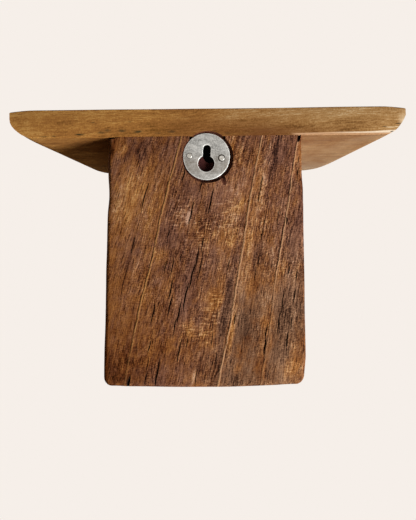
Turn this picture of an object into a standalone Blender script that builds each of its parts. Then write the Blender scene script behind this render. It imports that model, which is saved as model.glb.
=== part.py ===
"""Wall bracket shelf: a tapered board screwed down on a solid timber bracket that hangs on a keyhole plate.

Frame: the origin is the hanging point, the middle of the keyhole slot's upper end, on the wall plane.
+Z is up, +X runs along the wall, and the wall is the plane Y = 0, so the shelf comes forward along -Y.
Left and right are those of a person who faces the shelf on its wall: left is -X.
"""

import math

import bmesh
import bpy
from mathutils import Matrix, Vector

MM = 0.001

# Shelf board, seen from above: widest at the wall, tapered to the front, with round front corners
SHELF_WIDTH = 250 * MM
SHELF_FRONT_WIDTH = 200 * MM
SHELF_DEPTH = 145 * MM
SHELF_THICKNESS = 17.5 * MM
SHELF_CORNER_RADIUS = 26 * MM
SHELF_UNDERSIDE_ROUND = 12 * MM
SHELF_TOP_EASE = 1.2 * MM

# Bracket block: flat against the wall, with a cove sawn between its nose and its toe,
# sawn and set by hand a little off the board's middle, with its foot leaning the same way
BLOCK_TOP_WIDTH = 122 * MM
BLOCK_BOTTOM_WIDTH = 127.5 * MM
BLOCK_HEIGHT = 157.5 * MM
BLOCK_TOP_DEPTH = 95 * MM
BLOCK_TOE_DEPTH = 40 * MM
BLOCK_NOSE_HEIGHT = 24 * MM
BLOCK_TOE_HEIGHT = 30 * MM
BLOCK_CORNER_ROUND = 5 * MM
BLOCK_EDGE_EASE = 1.5 * MM
BLOCK_OFFSET_X = 1 * MM
BLOCK_FOOT_LEAN = 1.6 * MM

# Keyhole plate, let into the back across the joint of board and block
PLATE_DIAMETER = 30 * MM
PLATE_THICKNESS = 2 * MM
PLATE_RIM_EASE = 0.3 * MM
PLATE_SINK = 0.2 * MM
PLATE_TILT = math.radians(3.5)
KEYHOLE_ENTRY_DIAMETER = 10 * MM
KEYHOLE_SLOT_WIDTH = 4.6 * MM
KEYHOLE_ENTRY_DROP = 4.4 * MM
HANG_RISE = 5 * MM
HANG_BELOW_SHELF = 8 * MM

# Recess for the plate, bored a little loose and off centre, and the pocket for the wall screw's head
RECESS_CLEARANCE = 1 * MM
RECESS_OFFSET_X = -0.5 * MM
RECESS_OFFSET_Z = -0.4 * MM
POCKET_CLEARANCE = 1 * MM
POCKET_DEPTH = 8.5 * MM

# Pins that hold the plate
PIN_RIM_INSET = 4.5 * MM
PIN_SHANK_DIAMETER = 1.8 * MM
PIN_HEAD_DIAMETER = 3.8 * MM
PIN_HEAD_THICKNESS = 0.5 * MM
PIN_DOME_HEIGHT = 0.35 * MM
PIN_LENGTH = 16 * MM
PIN_POINT_LENGTH = 2.5 * MM
PIN_SEAT_CLEARANCE = 0.6 * MM

# Screws that hold the board down on the block, and the wooden plugs over their heads
SCREW_SIDE_INSET = 23 * MM
SCREW_BACK_INSET = 20 * MM
SCREW_FRONT_INSET = 45 * MM
SCREW_LENGTH = 45 * MM
SCREW_HEAD_DIAMETER = 8 * MM
SCREW_SHANK_DIAMETER = 4 * MM
SCREW_POINT_LENGTH = 6 * MM
SCREW_DRIVE_WIDTH = 1.2 * MM
SCREW_DRIVE_SPAN = 3.2 * MM
SCREW_DRIVE_DEPTH = 1.5 * MM
PLUG_COVER = 1 * MM
PLUG_LENGTH = 5.5 * MM
PLUG_SINK = 0.1 * MM
PLUG_CHAMFER = 0.5 * MM

# Glue lines and running clearances between touching pieces
FIT_GAP = 0.3 * MM
HOLE_END_GAP = 1 * MM

# Facets of round shapes
ROUND_SEGMENTS = 64
SMALL_ROUND_SEGMENTS = 20
CORNER_STEPS = 8
COVE_STEPS = 20
UNDERSIDE_STEPS = 6
DOME_STEPS = 4
EASE_STEPS = 2
SHARP_ANGLE = math.radians(35)

# Levels and places worked out from the sizes above
SHELF_BOTTOM = HANG_BELOW_SHELF
SHELF_TOP = SHELF_BOTTOM + SHELF_THICKNESS
BLOCK_TOP = SHELF_BOTTOM - FIT_GAP
BLOCK_BOTTOM = BLOCK_TOP - BLOCK_HEIGHT
PLATE_CENTRE = Vector((HANG_RISE * math.sin(PLATE_TILT), 0, -HANG_RISE * math.cos(PLATE_TILT)))
PLATE_SEAT = PLATE_SINK + PLATE_THICKNESS + FIT_GAP
PIN_SPACING = PLATE_DIAMETER - 2 * PIN_RIM_INSET
PLUG_DIAMETER = SCREW_HEAD_DIAMETER + 2 * PLUG_COVER
PLUG_BORE_DEPTH = PLUG_SINK + PLUG_LENGTH + FIT_GAP
SCREW_TOP = SHELF_TOP - PLUG_BORE_DEPTH
SCREW_HEAD_HEIGHT = (SCREW_HEAD_DIAMETER - SCREW_SHANK_DIAMETER) / 2
CUT_PAST = 2 * MM

PARTS = "wall_bracket_shelf"
CUTTERS = "cutters"


def clear_scene():
    for obj in list(bpy.data.objects):
        bpy.data.objects.remove(obj)
    for name in (PARTS, CUTTERS):
        bpy.context.scene.collection.children.link(bpy.data.collections.new(name))


def make_material(name, colour, roughness, metallic):
    material = bpy.data.materials.new(name)
    material.use_nodes = True
    shader = material.node_tree.nodes["Principled BSDF"]
    shader.inputs["Base Color"].default_value = (*colour, 1)
    shader.inputs["Roughness"].default_value = roughness
    shader.inputs["Metallic"].default_value = metallic
    return material


def add_part(name, mesh, material, location=(0, 0, 0), parent=None):
    """One named piece, shaded smooth up to its real edges."""
    mesh.materials.append(material)
    mesh.shade_smooth()
    mesh.set_sharp_from_angle(angle=SHARP_ANGLE)
    part = bpy.data.objects.new(name, mesh)
    part.location = location
    part.parent = parent
    bpy.data.collections[PARTS].objects.link(part)
    return part


def add_cutter(name, mesh, location=(0, 0, 0), parent=None):
    cutter = bpy.data.objects.new(name, mesh)
    cutter.location = location
    cutter.parent = parent
    cutter.hide_render = True
    cutter.display_type = "WIRE"
    bpy.data.collections[CUTTERS].objects.link(cutter)
    return cutter


def cut(part, cutters):
    for cutter in cutters:
        modifier = part.modifiers.new(f"cut_{cutter.name}", "BOOLEAN")
        modifier.operation = "DIFFERENCE"
        modifier.object = cutter


def mesh_from(bm, name):
    mesh = bpy.data.meshes.new(name)
    bm.to_mesh(mesh)
    bm.free()
    return mesh


def cylinder(name, diameter, start, end, segments=SMALL_ROUND_SEGMENTS, axis="Z"):
    """A closed cylinder between two places on its axis: Z, or Y for what goes into the back."""
    bm = bmesh.new()
    bmesh.ops.create_cone(
        bm, cap_ends=True, segments=segments, radius1=diameter / 2, radius2=diameter / 2, depth=end - start
    )
    bm.transform(Matrix.Translation((0, 0, (start + end) / 2)))
    if axis == "Y":
        bm.transform(Matrix.Rotation(math.radians(-90), 4, "X"))
    return mesh_from(bm, name)


def extruded_outline(name, outline, thickness, turn):
    """A flat outline, filled and thickened evenly to both sides of its plane, then turned into place."""
    curve = bpy.data.curves.new(name, "CURVE")
    curve.dimensions = "2D"
    curve.fill_mode = "BOTH"
    curve.extrude = thickness / 2
    spline = curve.splines.new("POLY")
    spline.points.add(len(outline) - 1)
    for point, (x, y) in zip(spline.points, outline):
        point.co = (x, y, 0, 1)
    spline.use_cyclic_u = True
    guide = bpy.data.objects.new(name, curve)
    bpy.context.scene.collection.objects.link(guide)
    graph = bpy.context.evaluated_depsgraph_get()
    flat = bpy.data.meshes.new_from_object(guide.evaluated_get(graph))
    bm = bmesh.new()
    bm.from_mesh(flat)
    bmesh.ops.remove_doubles(bm, verts=bm.verts, dist=FIT_GAP / 100)
    bmesh.ops.dissolve_limit(bm, angle_limit=math.radians(1), verts=bm.verts, edges=bm.edges)
    bm.transform(turn)
    bmesh.ops.recalc_face_normals(bm, faces=bm.faces)
    bpy.data.objects.remove(guide)
    bpy.data.curves.remove(curve)
    bpy.data.meshes.remove(flat)
    return bm


def turned(name, profile, material, segments, location, parent=None, lay_down=False):
    """A turned piece: its half profile, from the top of its axis down, spun about Z."""
    bm = bmesh.new()
    points = [bm.verts.new((radius, 0, height)) for radius, height in profile]
    for upper, lower in zip(points, points[1:]):
        bm.edges.new((upper, lower))
    part = add_part(name, mesh_from(bm, name), material, location, parent)
    if lay_down:
        part.rotation_euler = (math.radians(-90), 0, 0)
    spin = part.modifiers.new("spin", "SCREW")
    spin.steps = segments
    spin.render_steps = segments
    spin.use_merge_vertices = True
    spin.merge_threshold = FIT_GAP / 100
    spin.use_smooth_shade = True
    return part


def arc(centre, radius, start, end, steps):
    """Points along a round stretch, from one angle to another, both ends included."""
    angles = [start + (end - start) * step / steps for step in range(steps + 1)]
    return [(centre[0] + radius * math.cos(a), centre[1] + radius * math.sin(a)) for a in angles]


def rounded_corner(before, corner, after, radius, steps):
    """The round that replaces a sharp corner of an outline and meets both of its sides smoothly."""
    before, corner, after = Vector(before), Vector(corner), Vector(after)
    back, ahead = (before - corner).normalized(), (after - corner).normalized()
    half = back.angle(ahead) / 2
    centre = corner + (back + ahead).normalized() * (radius / math.sin(half))
    start = corner + back * (radius / math.tan(half)) - centre
    sweep = (math.pi - 2 * half) * (1 if start.cross(ahead) > 0 else -1)
    first = math.atan2(start.y, start.x)
    return arc(centre, radius, first, first + sweep, steps)


def bevel(bm, edges, width, segments):
    bmesh.ops.bevel(
        bm, geom=edges, offset=width, offset_type="OFFSET", segments=segments, profile=0.5, affect="EDGES"
    )


def sharp_edges(bm):
    return [edge for edge in bm.edges if edge.calc_face_angle(0) > SHARP_ANGLE]


def at_level(edge, level):
    return all(abs(vert.co.z - level) < FIT_GAP / 10 for vert in edge.verts)


def at_wall(edge):
    return all(abs(vert.co.y) < FIT_GAP / 10 for vert in edge.verts)


def on_one_side(edge):
    return edge.verts[0].co.x * edge.verts[1].co.x > 0


def screw_places():
    """The four screws' names and places on the board: two near the wall and two under the nose."""
    side = BLOCK_TOP_WIDTH / 2 - SCREW_SIDE_INSET
    rows = {"back": -SCREW_BACK_INSET, "front": -(BLOCK_TOP_DEPTH - SCREW_FRONT_INSET)}
    for row, y in rows.items():
        for hand, x in {"left": -side, "right": side}.items():
            yield f"{row}_{hand}", BLOCK_OFFSET_X + x, y


def pin_places():
    """The pins' names and places on the plate, across its middle."""
    for hand, x in {"left": -PIN_SPACING / 2, "right": PIN_SPACING / 2}.items():
        yield hand, (x, -PLATE_SINK, 0)


def add_plate_frame():
    """An empty at the middle of the plate, on the wall plane, turned as the plate is turned."""
    frame = bpy.data.objects.new("plate_frame", None)
    frame.location = PLATE_CENTRE
    frame.rotation_euler = (0, -PLATE_TILT, 0)
    bpy.data.collections[PARTS].objects.link(frame)
    return frame


def add_recess_cutters(plate_frame):
    """What is bored from the back: the plate's round recess, the screw head's pocket and the pins' holes."""
    recess = add_cutter(
        "plate_recess",
        cylinder(
            "plate_recess", PLATE_DIAMETER + 2 * RECESS_CLEARANCE, -PLATE_SEAT, CUT_PAST, ROUND_SEGMENTS, "Y"
        ),
        PLATE_CENTRE + Vector((RECESS_OFFSET_X, 0, RECESS_OFFSET_Z)),
    )
    radius = KEYHOLE_ENTRY_DIAMETER / 2 + POCKET_CLEARANCE
    outline = arc((0, HANG_RISE), radius, 0, math.pi, CORNER_STEPS)
    outline += arc((0, -KEYHOLE_ENTRY_DROP), radius, math.pi, 2 * math.pi, CORNER_STEPS)
    depth = POCKET_DEPTH + CUT_PAST
    middle = CUT_PAST - PLATE_SEAT - depth / 2
    turn = Matrix.Translation((0, middle, 0)) @ Matrix.Rotation(math.pi / 2, 4, "X")
    pocket = add_cutter(
        "head_pocket",
        mesh_from(extruded_outline("head_pocket", outline, depth, turn), "head_pocket"),
        parent=plate_frame,
    )
    holes = [
        add_cutter(
            f"pin_hole_{hand}",
            cylinder(
                "pin_hole", PIN_SHANK_DIAMETER + 2 * FIT_GAP, -PIN_LENGTH - HOLE_END_GAP, 0, axis="Y"
            ),
            place,
            plate_frame,
        )
        for hand, place in pin_places()
    ]
    return recess, [pocket, *holes]


def make_shelf_board(wood, recess):
    half_back, half_front = SHELF_WIDTH / 2, SHELF_FRONT_WIDTH / 2
    back_left, back_right = (-half_back, 0), (half_back, 0)
    front_left, front_right = (-half_front, -SHELF_DEPTH), (half_front, -SHELF_DEPTH)
    outline = [back_right, back_left]
    outline += rounded_corner(back_left, front_left, front_right, SHELF_CORNER_RADIUS, CORNER_STEPS)
    outline += rounded_corner(front_left, front_right, back_right, SHELF_CORNER_RADIUS, CORNER_STEPS)
    turn = Matrix.Translation((0, 0, (SHELF_TOP + SHELF_BOTTOM) / 2))
    bm = extruded_outline("shelf_board", outline, SHELF_THICKNESS, turn)
    underside = [edge for edge in bm.edges if at_level(edge, SHELF_BOTTOM) and not at_wall(edge)]
    wall = SHELF_THICKNESS - SHELF_TOP_EASE - FIT_GAP
    bevel(bm, underside, min(SHELF_UNDERSIDE_ROUND, wall), UNDERSIDE_STEPS)
    bevel(bm, [edge for edge in bm.edges if at_level(edge, SHELF_TOP)], SHELF_TOP_EASE, EASE_STEPS)
    board = add_part("shelf_board", mesh_from(bm, "shelf_board"), wood)
    cut(board, [recess])
    for name, x, y in screw_places():
        cut(board, [add_cutter(f"board_bore_{name}", board_bore(), (x, y, SHELF_TOP))])
    return board


def board_bore():
    """One screw's stepped bore in the board: the plug's bore, the countersink and the shank's hole."""
    plug = PLUG_DIAMETER / 2 + FIT_GAP
    head = SCREW_HEAD_DIAMETER / 2 + FIT_GAP
    shank = SCREW_SHANK_DIAMETER / 2 + FIT_GAP
    cone_end = PLUG_BORE_DEPTH + head - shank
    bottom = SHELF_THICKNESS + CUT_PAST
    profile = [
        (0, CUT_PAST),
        (plug, CUT_PAST),
        (plug, -PLUG_BORE_DEPTH - FIT_GAP),
        (head, -PLUG_BORE_DEPTH - FIT_GAP),
        (shank, -cone_end - FIT_GAP),
        (shank, -bottom),
        (0, -bottom),
    ]
    return spun_mesh("board_bore", profile, SMALL_ROUND_SEGMENTS)


def spun_mesh(name, profile, segments):
    """A half profile, from the top of its axis down, spun into a closed mesh for cutting."""
    bm = bmesh.new()
    points = [bm.verts.new((radius, 0, height)) for radius, height in profile]
    edges = [bm.edges.new(pair) for pair in zip(points, points[1:])]
    bmesh.ops.spin(
        bm,
        geom=points + edges,
        angle=2 * math.pi,
        steps=segments,
        axis=(0, 0, 1),
        cent=(0, 0, 0),
        use_merge=True,
    )
    bmesh.ops.remove_doubles(bm, verts=bm.verts, dist=FIT_GAP / 100)
    bmesh.ops.recalc_face_normals(bm, faces=bm.faces)
    return mesh_from(bm, name)


def make_bracket_block(wood, recess, back_cutters):
    nose_bottom = BLOCK_TOP - BLOCK_NOSE_HEIGHT
    toe_top = BLOCK_BOTTOM + BLOCK_TOE_HEIGHT
    cove_depth = BLOCK_TOP_DEPTH - BLOCK_TOE_DEPTH
    cove_height = nose_bottom - toe_top
    outline = [(0, BLOCK_TOP), (0, BLOCK_BOTTOM), (-BLOCK_TOE_DEPTH, BLOCK_BOTTOM)]
    for across, up in arc((0, 0), 1, 0, math.pi / 2, COVE_STEPS):
        outline.append((cove_depth * across - BLOCK_TOP_DEPTH, toe_top + cove_height * up))
    outline.append((-BLOCK_TOP_DEPTH, BLOCK_TOP))
    upright = Matrix(((0, 0, 1, 0), (1, 0, 0, 0), (0, 1, 0, 0), (0, 0, 0, 1)))
    bm = extruded_outline("bracket_block", outline, BLOCK_TOP_WIDTH, upright)
    for vert in bm.verts:
        down = (BLOCK_TOP - vert.co.z) / BLOCK_HEIGHT
        vert.co.x *= 1 + down * (BLOCK_BOTTOM_WIDTH / BLOCK_TOP_WIDTH - 1)
        vert.co.x += BLOCK_OFFSET_X + down * BLOCK_FOOT_LEAN
    foot_edges = [edge for edge in sharp_edges(bm) if at_level(edge, BLOCK_BOTTOM)]
    bevel(bm, [edge for edge in foot_edges if on_one_side(edge)], BLOCK_CORNER_ROUND, EASE_STEPS + 2)
    exposed_edges = [edge for edge in sharp_edges(bm) if not at_level(edge, BLOCK_TOP)]
    bevel(bm, exposed_edges, BLOCK_EDGE_EASE, EASE_STEPS)
    block = add_part("bracket_block", mesh_from(bm, "bracket_block"), wood)
    cut(block, [recess, *back_cutters])
    end = SCREW_TOP - SCREW_LENGTH - HOLE_END_GAP
    for name, x, y in screw_places():
        hole = cylinder("screw_hole", SCREW_SHANK_DIAMETER + 2 * FIT_GAP, end, BLOCK_TOP + CUT_PAST)
        cut(block, [add_cutter(f"screw_hole_{name}", hole, (x, y, 0))])
    return block


def keyhole_outline():
    """The round entry with the slot above it, about the middle of the plate."""
    entry, slot = KEYHOLE_ENTRY_DIAMETER / 2, KEYHOLE_SLOT_WIDTH / 2
    mouth = math.acos(slot / entry)
    outline = arc((0, -KEYHOLE_ENTRY_DROP), entry, math.pi - mouth, 2 * math.pi + mouth, 4 * CORNER_STEPS)
    return outline + arc((0, HANG_RISE), slot, 0, math.pi, 2 * CORNER_STEPS)


def make_keyhole_plate(steel, plate_frame):
    face, back = -PLATE_SINK, -PLATE_SINK - PLATE_THICKNESS
    bm = bmesh.new()
    bm.from_mesh(cylinder("keyhole_plate", PLATE_DIAMETER, back, face, ROUND_SEGMENTS, "Y"))
    bevel(bm, sharp_edges(bm), PLATE_RIM_EASE, EASE_STEPS)
    plate = add_part("keyhole_plate", mesh_from(bm, "keyhole_plate"), steel, parent=plate_frame)
    middle = Matrix.Translation((0, (face + back) / 2, 0)) @ Matrix.Rotation(math.pi / 2, 4, "X")
    keyhole = extruded_outline("keyhole", keyhole_outline(), PLATE_THICKNESS + 2 * CUT_PAST, middle)
    cut(plate, [add_cutter("keyhole", mesh_from(keyhole, "keyhole"), parent=plate_frame)])
    hole, seat = PIN_SHANK_DIAMETER + 2 * FIT_GAP, PIN_HEAD_DIAMETER + 2 * PIN_SEAT_CLEARANCE
    seat_depth = PIN_DOME_HEIGHT + PIN_HEAD_THICKNESS + FIT_GAP
    for hand, place in pin_places():
        through = cylinder("plate_pin_hole", hole, -PLATE_THICKNESS - CUT_PAST, CUT_PAST, axis="Y")
        sunk = cylinder("plate_pin_seat", seat, -seat_depth, CUT_PAST, axis="Y")
        for name, mesh in (("plate_pin_hole", through), ("plate_pin_seat", sunk)):
            cut(plate, [add_cutter(f"{name}_{hand}", mesh, place, plate_frame)])
    return plate


def make_plate_pins(steel, plate_frame):
    """Round-head pins whose domes finish level with the face of the plate."""
    head, shank = PIN_HEAD_DIAMETER / 2, PIN_SHANK_DIAMETER / 2
    dome = arc((0, 0), 1, math.pi / 2, 0, DOME_STEPS)
    profile = [(0, 0)]
    profile += [(head * across, PIN_DOME_HEIGHT * (up - 1)) for across, up in dome[1:]]
    under_head = -PIN_DOME_HEIGHT - PIN_HEAD_THICKNESS
    profile += [
        (head, under_head),
        (shank, under_head),
        (shank, -PIN_LENGTH + PIN_POINT_LENGTH),
        (0, -PIN_LENGTH),
    ]
    for hand, place in pin_places():
        turned(f"plate_pin_{hand}", profile, steel, SMALL_ROUND_SEGMENTS, place, plate_frame, lay_down=True)


def make_shelf_screws(steel):
    """Countersunk wood screws; each thread is drawn at its outer diameter."""
    head, shank = SCREW_HEAD_DIAMETER / 2, SCREW_SHANK_DIAMETER / 2
    profile = [
        (0, 0),
        (head, 0),
        (shank, -SCREW_HEAD_HEIGHT),
        (shank, -SCREW_LENGTH + SCREW_POINT_LENGTH),
        (0, -SCREW_LENGTH),
    ]
    for name, x, y in screw_places():
        place = (x, y, SCREW_TOP - FIT_GAP)
        screw = turned(f"shelf_screw_{name}", profile, steel, SMALL_ROUND_SEGMENTS, place)
        for way, turn in {"along": 0, "across": math.pi / 2}.items():
            bm = bmesh.new()
            bmesh.ops.create_cube(bm, size=1)
            bm.transform(Matrix.Diagonal((SCREW_DRIVE_SPAN, SCREW_DRIVE_WIDTH, 2 * SCREW_DRIVE_DEPTH, 1)))
            bm.transform(Matrix.Rotation(turn, 4, "Z"))
            cut(screw, [add_cutter(f"drive_{name}_{way}", mesh_from(bm, "drive"), place)])


def make_screw_plugs(wood):
    """Side-grain plugs glued over the screw heads, chamfered at their lower end."""
    for name, x, y in screw_places():
        bm = bmesh.new()
        bm.from_mesh(cylinder("screw_plug", PLUG_DIAMETER, -PLUG_SINK - PLUG_LENGTH, -PLUG_SINK))
        lower_rim = [edge for edge in sharp_edges(bm) if at_level(edge, -PLUG_SINK - PLUG_LENGTH)]
        bevel(bm, lower_rim, PLUG_CHAMFER, 1)
        add_part(f"screw_plug_{name}", mesh_from(bm, "screw_plug"), wood, (x, y, SHELF_TOP))


def main():
    clear_scene()
    shelf_wood = make_material("shelf_wood", (0.33, 0.17, 0.06), 0.5, 0)
    block_wood = make_material("block_wood", (0.17, 0.075, 0.03), 0.6, 0)
    plug_wood = make_material("plug_wood", (0.28, 0.14, 0.05), 0.5, 0)
    plate_steel = make_material("plate_steel", (0.42, 0.41, 0.39), 0.45, 1)
    pin_steel = make_material("pin_steel", (0.55, 0.54, 0.52), 0.4, 1)
    screw_steel = make_material("screw_steel", (0.6, 0.55, 0.4), 0.35, 1)
    plate_frame = add_plate_frame()
    recess, back_cutters = add_recess_cutters(plate_frame)
    make_shelf_board(shelf_wood, recess)
    make_bracket_block(block_wood, recess, back_cutters)
    make_keyhole_plate(plate_steel, plate_frame)
    make_plate_pins(pin_steel, plate_frame)
    make_shelf_screws(screw_steel)
    make_screw_plugs(plug_wood)


main()
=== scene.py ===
# %% [markdown]
# # A wall bracket shelf, dressed for its picture
#
# The shelf is a golden board on a dark block of reclaimed timber. It hangs on one wall screw by a round
# keyhole plate, and the picture looks at its back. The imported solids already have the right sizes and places,
# so this lesson keeps them as a frame and models each piece again over its solid, with the wear, the cracks
# and the grain that the solids leave out. Lengths are written in millimetres and turned to metres by MM. The
# shapes and finishes speak of left and right as the picture shows them, from behind. The names of pins, plugs
# and screws follow the solids, whose left is that of a person who faces the shelf on its wall.

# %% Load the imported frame
import math

import bmesh
import bpy
import numpy as np
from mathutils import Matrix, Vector, noise


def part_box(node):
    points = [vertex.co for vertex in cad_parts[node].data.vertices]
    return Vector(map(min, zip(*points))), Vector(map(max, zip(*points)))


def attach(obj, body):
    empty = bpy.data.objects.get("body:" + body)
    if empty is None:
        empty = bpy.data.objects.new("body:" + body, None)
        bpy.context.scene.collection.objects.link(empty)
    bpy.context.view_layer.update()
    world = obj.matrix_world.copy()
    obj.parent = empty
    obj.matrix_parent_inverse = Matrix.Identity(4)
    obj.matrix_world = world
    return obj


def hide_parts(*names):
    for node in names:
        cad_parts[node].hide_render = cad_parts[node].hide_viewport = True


MM = 0.001

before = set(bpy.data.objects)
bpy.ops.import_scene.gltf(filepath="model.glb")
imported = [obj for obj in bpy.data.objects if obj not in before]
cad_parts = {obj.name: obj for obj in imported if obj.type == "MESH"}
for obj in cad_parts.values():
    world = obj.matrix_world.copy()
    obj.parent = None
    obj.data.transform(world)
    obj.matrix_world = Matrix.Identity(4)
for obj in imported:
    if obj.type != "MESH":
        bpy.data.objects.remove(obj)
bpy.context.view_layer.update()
print("nodes:", ", ".join(sorted(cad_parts)))

# %% [markdown]
# ## The hand tools
#
# A person who models by hand adds a primitive, selects some of its vertices or edges and then moves, bevels
# or extrudes them. The helpers here do the same in code: one starts a piece from a primitive, one picks parts
# of a mesh in edit mode by a rule, one bevels the edges that it picks, one applies a modifier, and one cuts a
# piece with another and throws the cutter away. Materials are built from nodes, so one more helper adds a
# node with its settings and links, and another turns an sRGB hex colour to linear light.

# %% Helpers for modelling
SLACK = 0.02 * MM
FACING = 0.9


def new_piece(name):
    """Names the active object and puts its place, turn and size into its mesh."""
    piece = bpy.context.object
    piece.name = name
    piece.data.name = name
    bpy.ops.object.transform_apply(location=True, rotation=True, scale=True)
    return piece


def start_from(primitive, name, place=(0, 0, 0), scale=(1, 1, 1), turn=(0, 0, 0), **sizes):
    """Starts a piece from a primitive at this place, with nothing else selected."""
    bpy.ops.object.select_all(action="DESELECT")
    primitive(**sizes)
    bpy.context.object.location = place
    bpy.context.object.scale = scale
    bpy.context.object.rotation_euler = turn
    return new_piece(name)


def pick(piece, kind, wanted):
    """In edit mode, selects only the vertices, edges or faces for which the rule is true."""
    bpy.ops.mesh.select_mode(type=kind)
    bpy.ops.mesh.select_all(action="DESELECT")
    mesh = bmesh.from_edit_mesh(piece.data)
    for part in {"VERT": mesh.verts, "EDGE": mesh.edges, "FACE": mesh.faces}[kind]:
        part.select_set(wanted(part))
    mesh.select_flush_mode()
    bmesh.update_edit_mesh(piece.data)


def all_at(axis, level):
    """A rule for pick: every corner of the edge lies at this level of the axis."""
    return lambda edge: all(abs(vert.co[axis] - level) < SLACK for vert in edge.verts)


def bevel(piece, wanted, offset, steps):
    """In edit mode, bevels the edges for which the rule is true."""
    pick(piece, "EDGE", wanted)
    bpy.ops.mesh.bevel(offset=offset, segments=steps, affect="EDGES")


def apply_modifier(piece, kind, **settings):
    """Adds a modifier with these settings and applies it."""
    modifier = piece.modifiers.new(kind, kind)
    for name, value in settings.items():
        setattr(modifier, name, value)
    bpy.context.view_layer.objects.active = piece
    bpy.ops.object.modifier_apply(modifier=modifier.name)


def join(pieces):
    """Joins the pieces into the first one."""
    bpy.ops.object.select_all(action="DESELECT")
    for piece in pieces:
        piece.select_set(True)
    bpy.context.view_layer.objects.active = pieces[0]
    bpy.ops.object.join()
    return pieces[0]


def cut(piece, cutter, material, solver="EXACT"):
    """Cuts the cutter's shape out of the piece. The new faces take the material."""
    cutter.data.materials.clear()
    cutter.data.materials.append(material)
    settings = {"operation": "DIFFERENCE", "solver": solver, "material_mode": "TRANSFER"}
    apply_modifier(piece, "BOOLEAN", object=cutter, **settings)
    bpy.data.objects.remove(cutter)


print("lengths are equal within", SLACK / MM, "mm, and a face looks along an axis from", FACING, "on")


# %% Helpers for materials
def linear(hex_colour):
    """An sRGB hex colour as the linear colour that a socket takes."""
    parts = [int(hex_colour[place : place + 2], 16) / 255 for place in (1, 3, 5)]
    return (*[c / 12.92 if c <= 0.04045 else ((c + 0.055) / 1.055) ** 2.4 for c in parts], 1)


def set_sockets(tree, node, sockets):
    """Gives a node's inputs their values, or links them to other nodes' outputs."""
    for name, value in sockets.items():
        if isinstance(value, bpy.types.NodeSocket):
            tree.links.new(value, node.inputs[name])
        else:
            node.inputs[name].default_value = value


def add_node(tree, kind, inputs=None, stops=None, **settings):
    """Adds one node with its settings, its inputs and a colour ramp's stops, and gives its outputs."""
    made = tree.nodes.new(kind)
    for name, value in settings.items():
        setattr(made, name, value)
    set_sockets(tree, made, inputs or {})
    if stops:
        ramp = made.color_ramp.elements
        ramp[0].position = stops[0][0]
        ramp[-1].position = stops[-1][0]
        for place, _ in stops[1:-1]:
            ramp.new(place)
        for element, (_, colour) in zip(ramp, stops):
            element.color = linear(colour)
    return made.outputs


def new_material(name):
    """An empty node material, with its tree and its Principled shader."""
    material = bpy.data.materials.new(name)
    material.use_nodes = True
    return material, material.node_tree, material.node_tree.nodes["Principled BSDF"]


def set_finish(tree, shader, colour, roughness, height, strength, depth, others):
    """Gives a shader its colour, its roughness, a bump this many millimetres deep and its other values."""
    bump = {"Strength": strength, "Distance": depth * MM, "Height": height}
    bump = add_node(tree, "ShaderNodeBump", bump)[0]
    set_sockets(tree, shader, {"Base Color": colour, "Roughness": roughness, "Normal": bump, **others})


print("middle grey is", [round(part, 3) for part in linear("#808080")[:3]], "in linear light")

# %% [markdown]
# ## Camera, backdrop and light
#
# The picture was taken level with the middle of the shelf, about 315 mm from its back. A focal length in
# pixels and the picture's long side give the lens. The backdrop is one flat pale colour: the world shows it
# to the camera and to mirror-like rays, while a much dimmer, even sky and lamps light the shelf itself. The
# floor lies well below the shelf. It takes the shadow, and most of what the camera sees of it is the same
# pale colour, so it blends with the backdrop. The main lamp stands low on the right, so it lights the
# underside, and the block throws its shadow on the left part of the board. Three large lamps on the other
# side keep the front, the top and the ends readable.

# %% Camera
FOCAL_PIXELS = 500
PICTURE_LONG_SIDE = 520
SENSOR_WIDTH = 36
CAMERA_PLACE = (-2.1 * MM, 315.4 * MM, -72.2 * MM)
CAMERA_DEGREES = (90.33, 0.52, 180.38)
NEAREST_SEEN = 10 * MM

camera_lens = bpy.data.cameras.new("picture_camera")
camera_lens.sensor_width = SENSOR_WIDTH
camera_lens.lens = FOCAL_PIXELS * SENSOR_WIDTH / PICTURE_LONG_SIDE
camera_lens.clip_start = NEAREST_SEEN
camera = bpy.data.objects.new("picture_camera", camera_lens)
camera.location = CAMERA_PLACE
camera.rotation_euler = [math.radians(angle) for angle in CAMERA_DEGREES]
bpy.context.scene.collection.objects.link(camera)
bpy.context.scene.camera = camera
bpy.context.scene.view_settings.view_transform = "Standard"
print("lens", round(camera_lens.lens, 2), "mm")

# %% Backdrop and sky
PALE = "#f6efe9"
SKY = "#fff8f0"
SKY_STRENGTH = 0.03


def seen_rays(tree):
    """A mask on the rays that show something: from the camera, from gloss and through glass."""
    rays = add_node(tree, "ShaderNodeLightPath")
    seen = rays["Is Camera Ray"]
    for kind in ("Is Glossy Ray", "Is Transmission Ray"):
        seen = add_node(tree, "ShaderNodeMath", {0: seen, 1: rays[kind]}, operation="MAXIMUM")[0]
    return seen


world = bpy.data.worlds.new("pale_room")
bpy.context.scene.world = world
world.use_nodes = True
tree = world.node_tree
tree.nodes.clear()
sky = add_node(tree, "ShaderNodeBackground", {"Color": linear(SKY), "Strength": SKY_STRENGTH})[0]
pale = add_node(tree, "ShaderNodeBackground", {"Color": linear(PALE), "Strength": 1})[0]
shown = add_node(tree, "ShaderNodeMixShader", {0: seen_rays(tree), 1: sky, 2: pale})[0]
add_node(tree, "ShaderNodeOutputWorld", {"Surface": shown})
print("backdrop", PALE)

# %% Floor
FLOOR_LEVEL = -900 * MM
FLOOR_RADIUS = 350 * MM
FLOOR_CORNERS = 96
FLOOR_PAINT = "#d9d3cd"
FLOOR_PALENESS = 0.75

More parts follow.
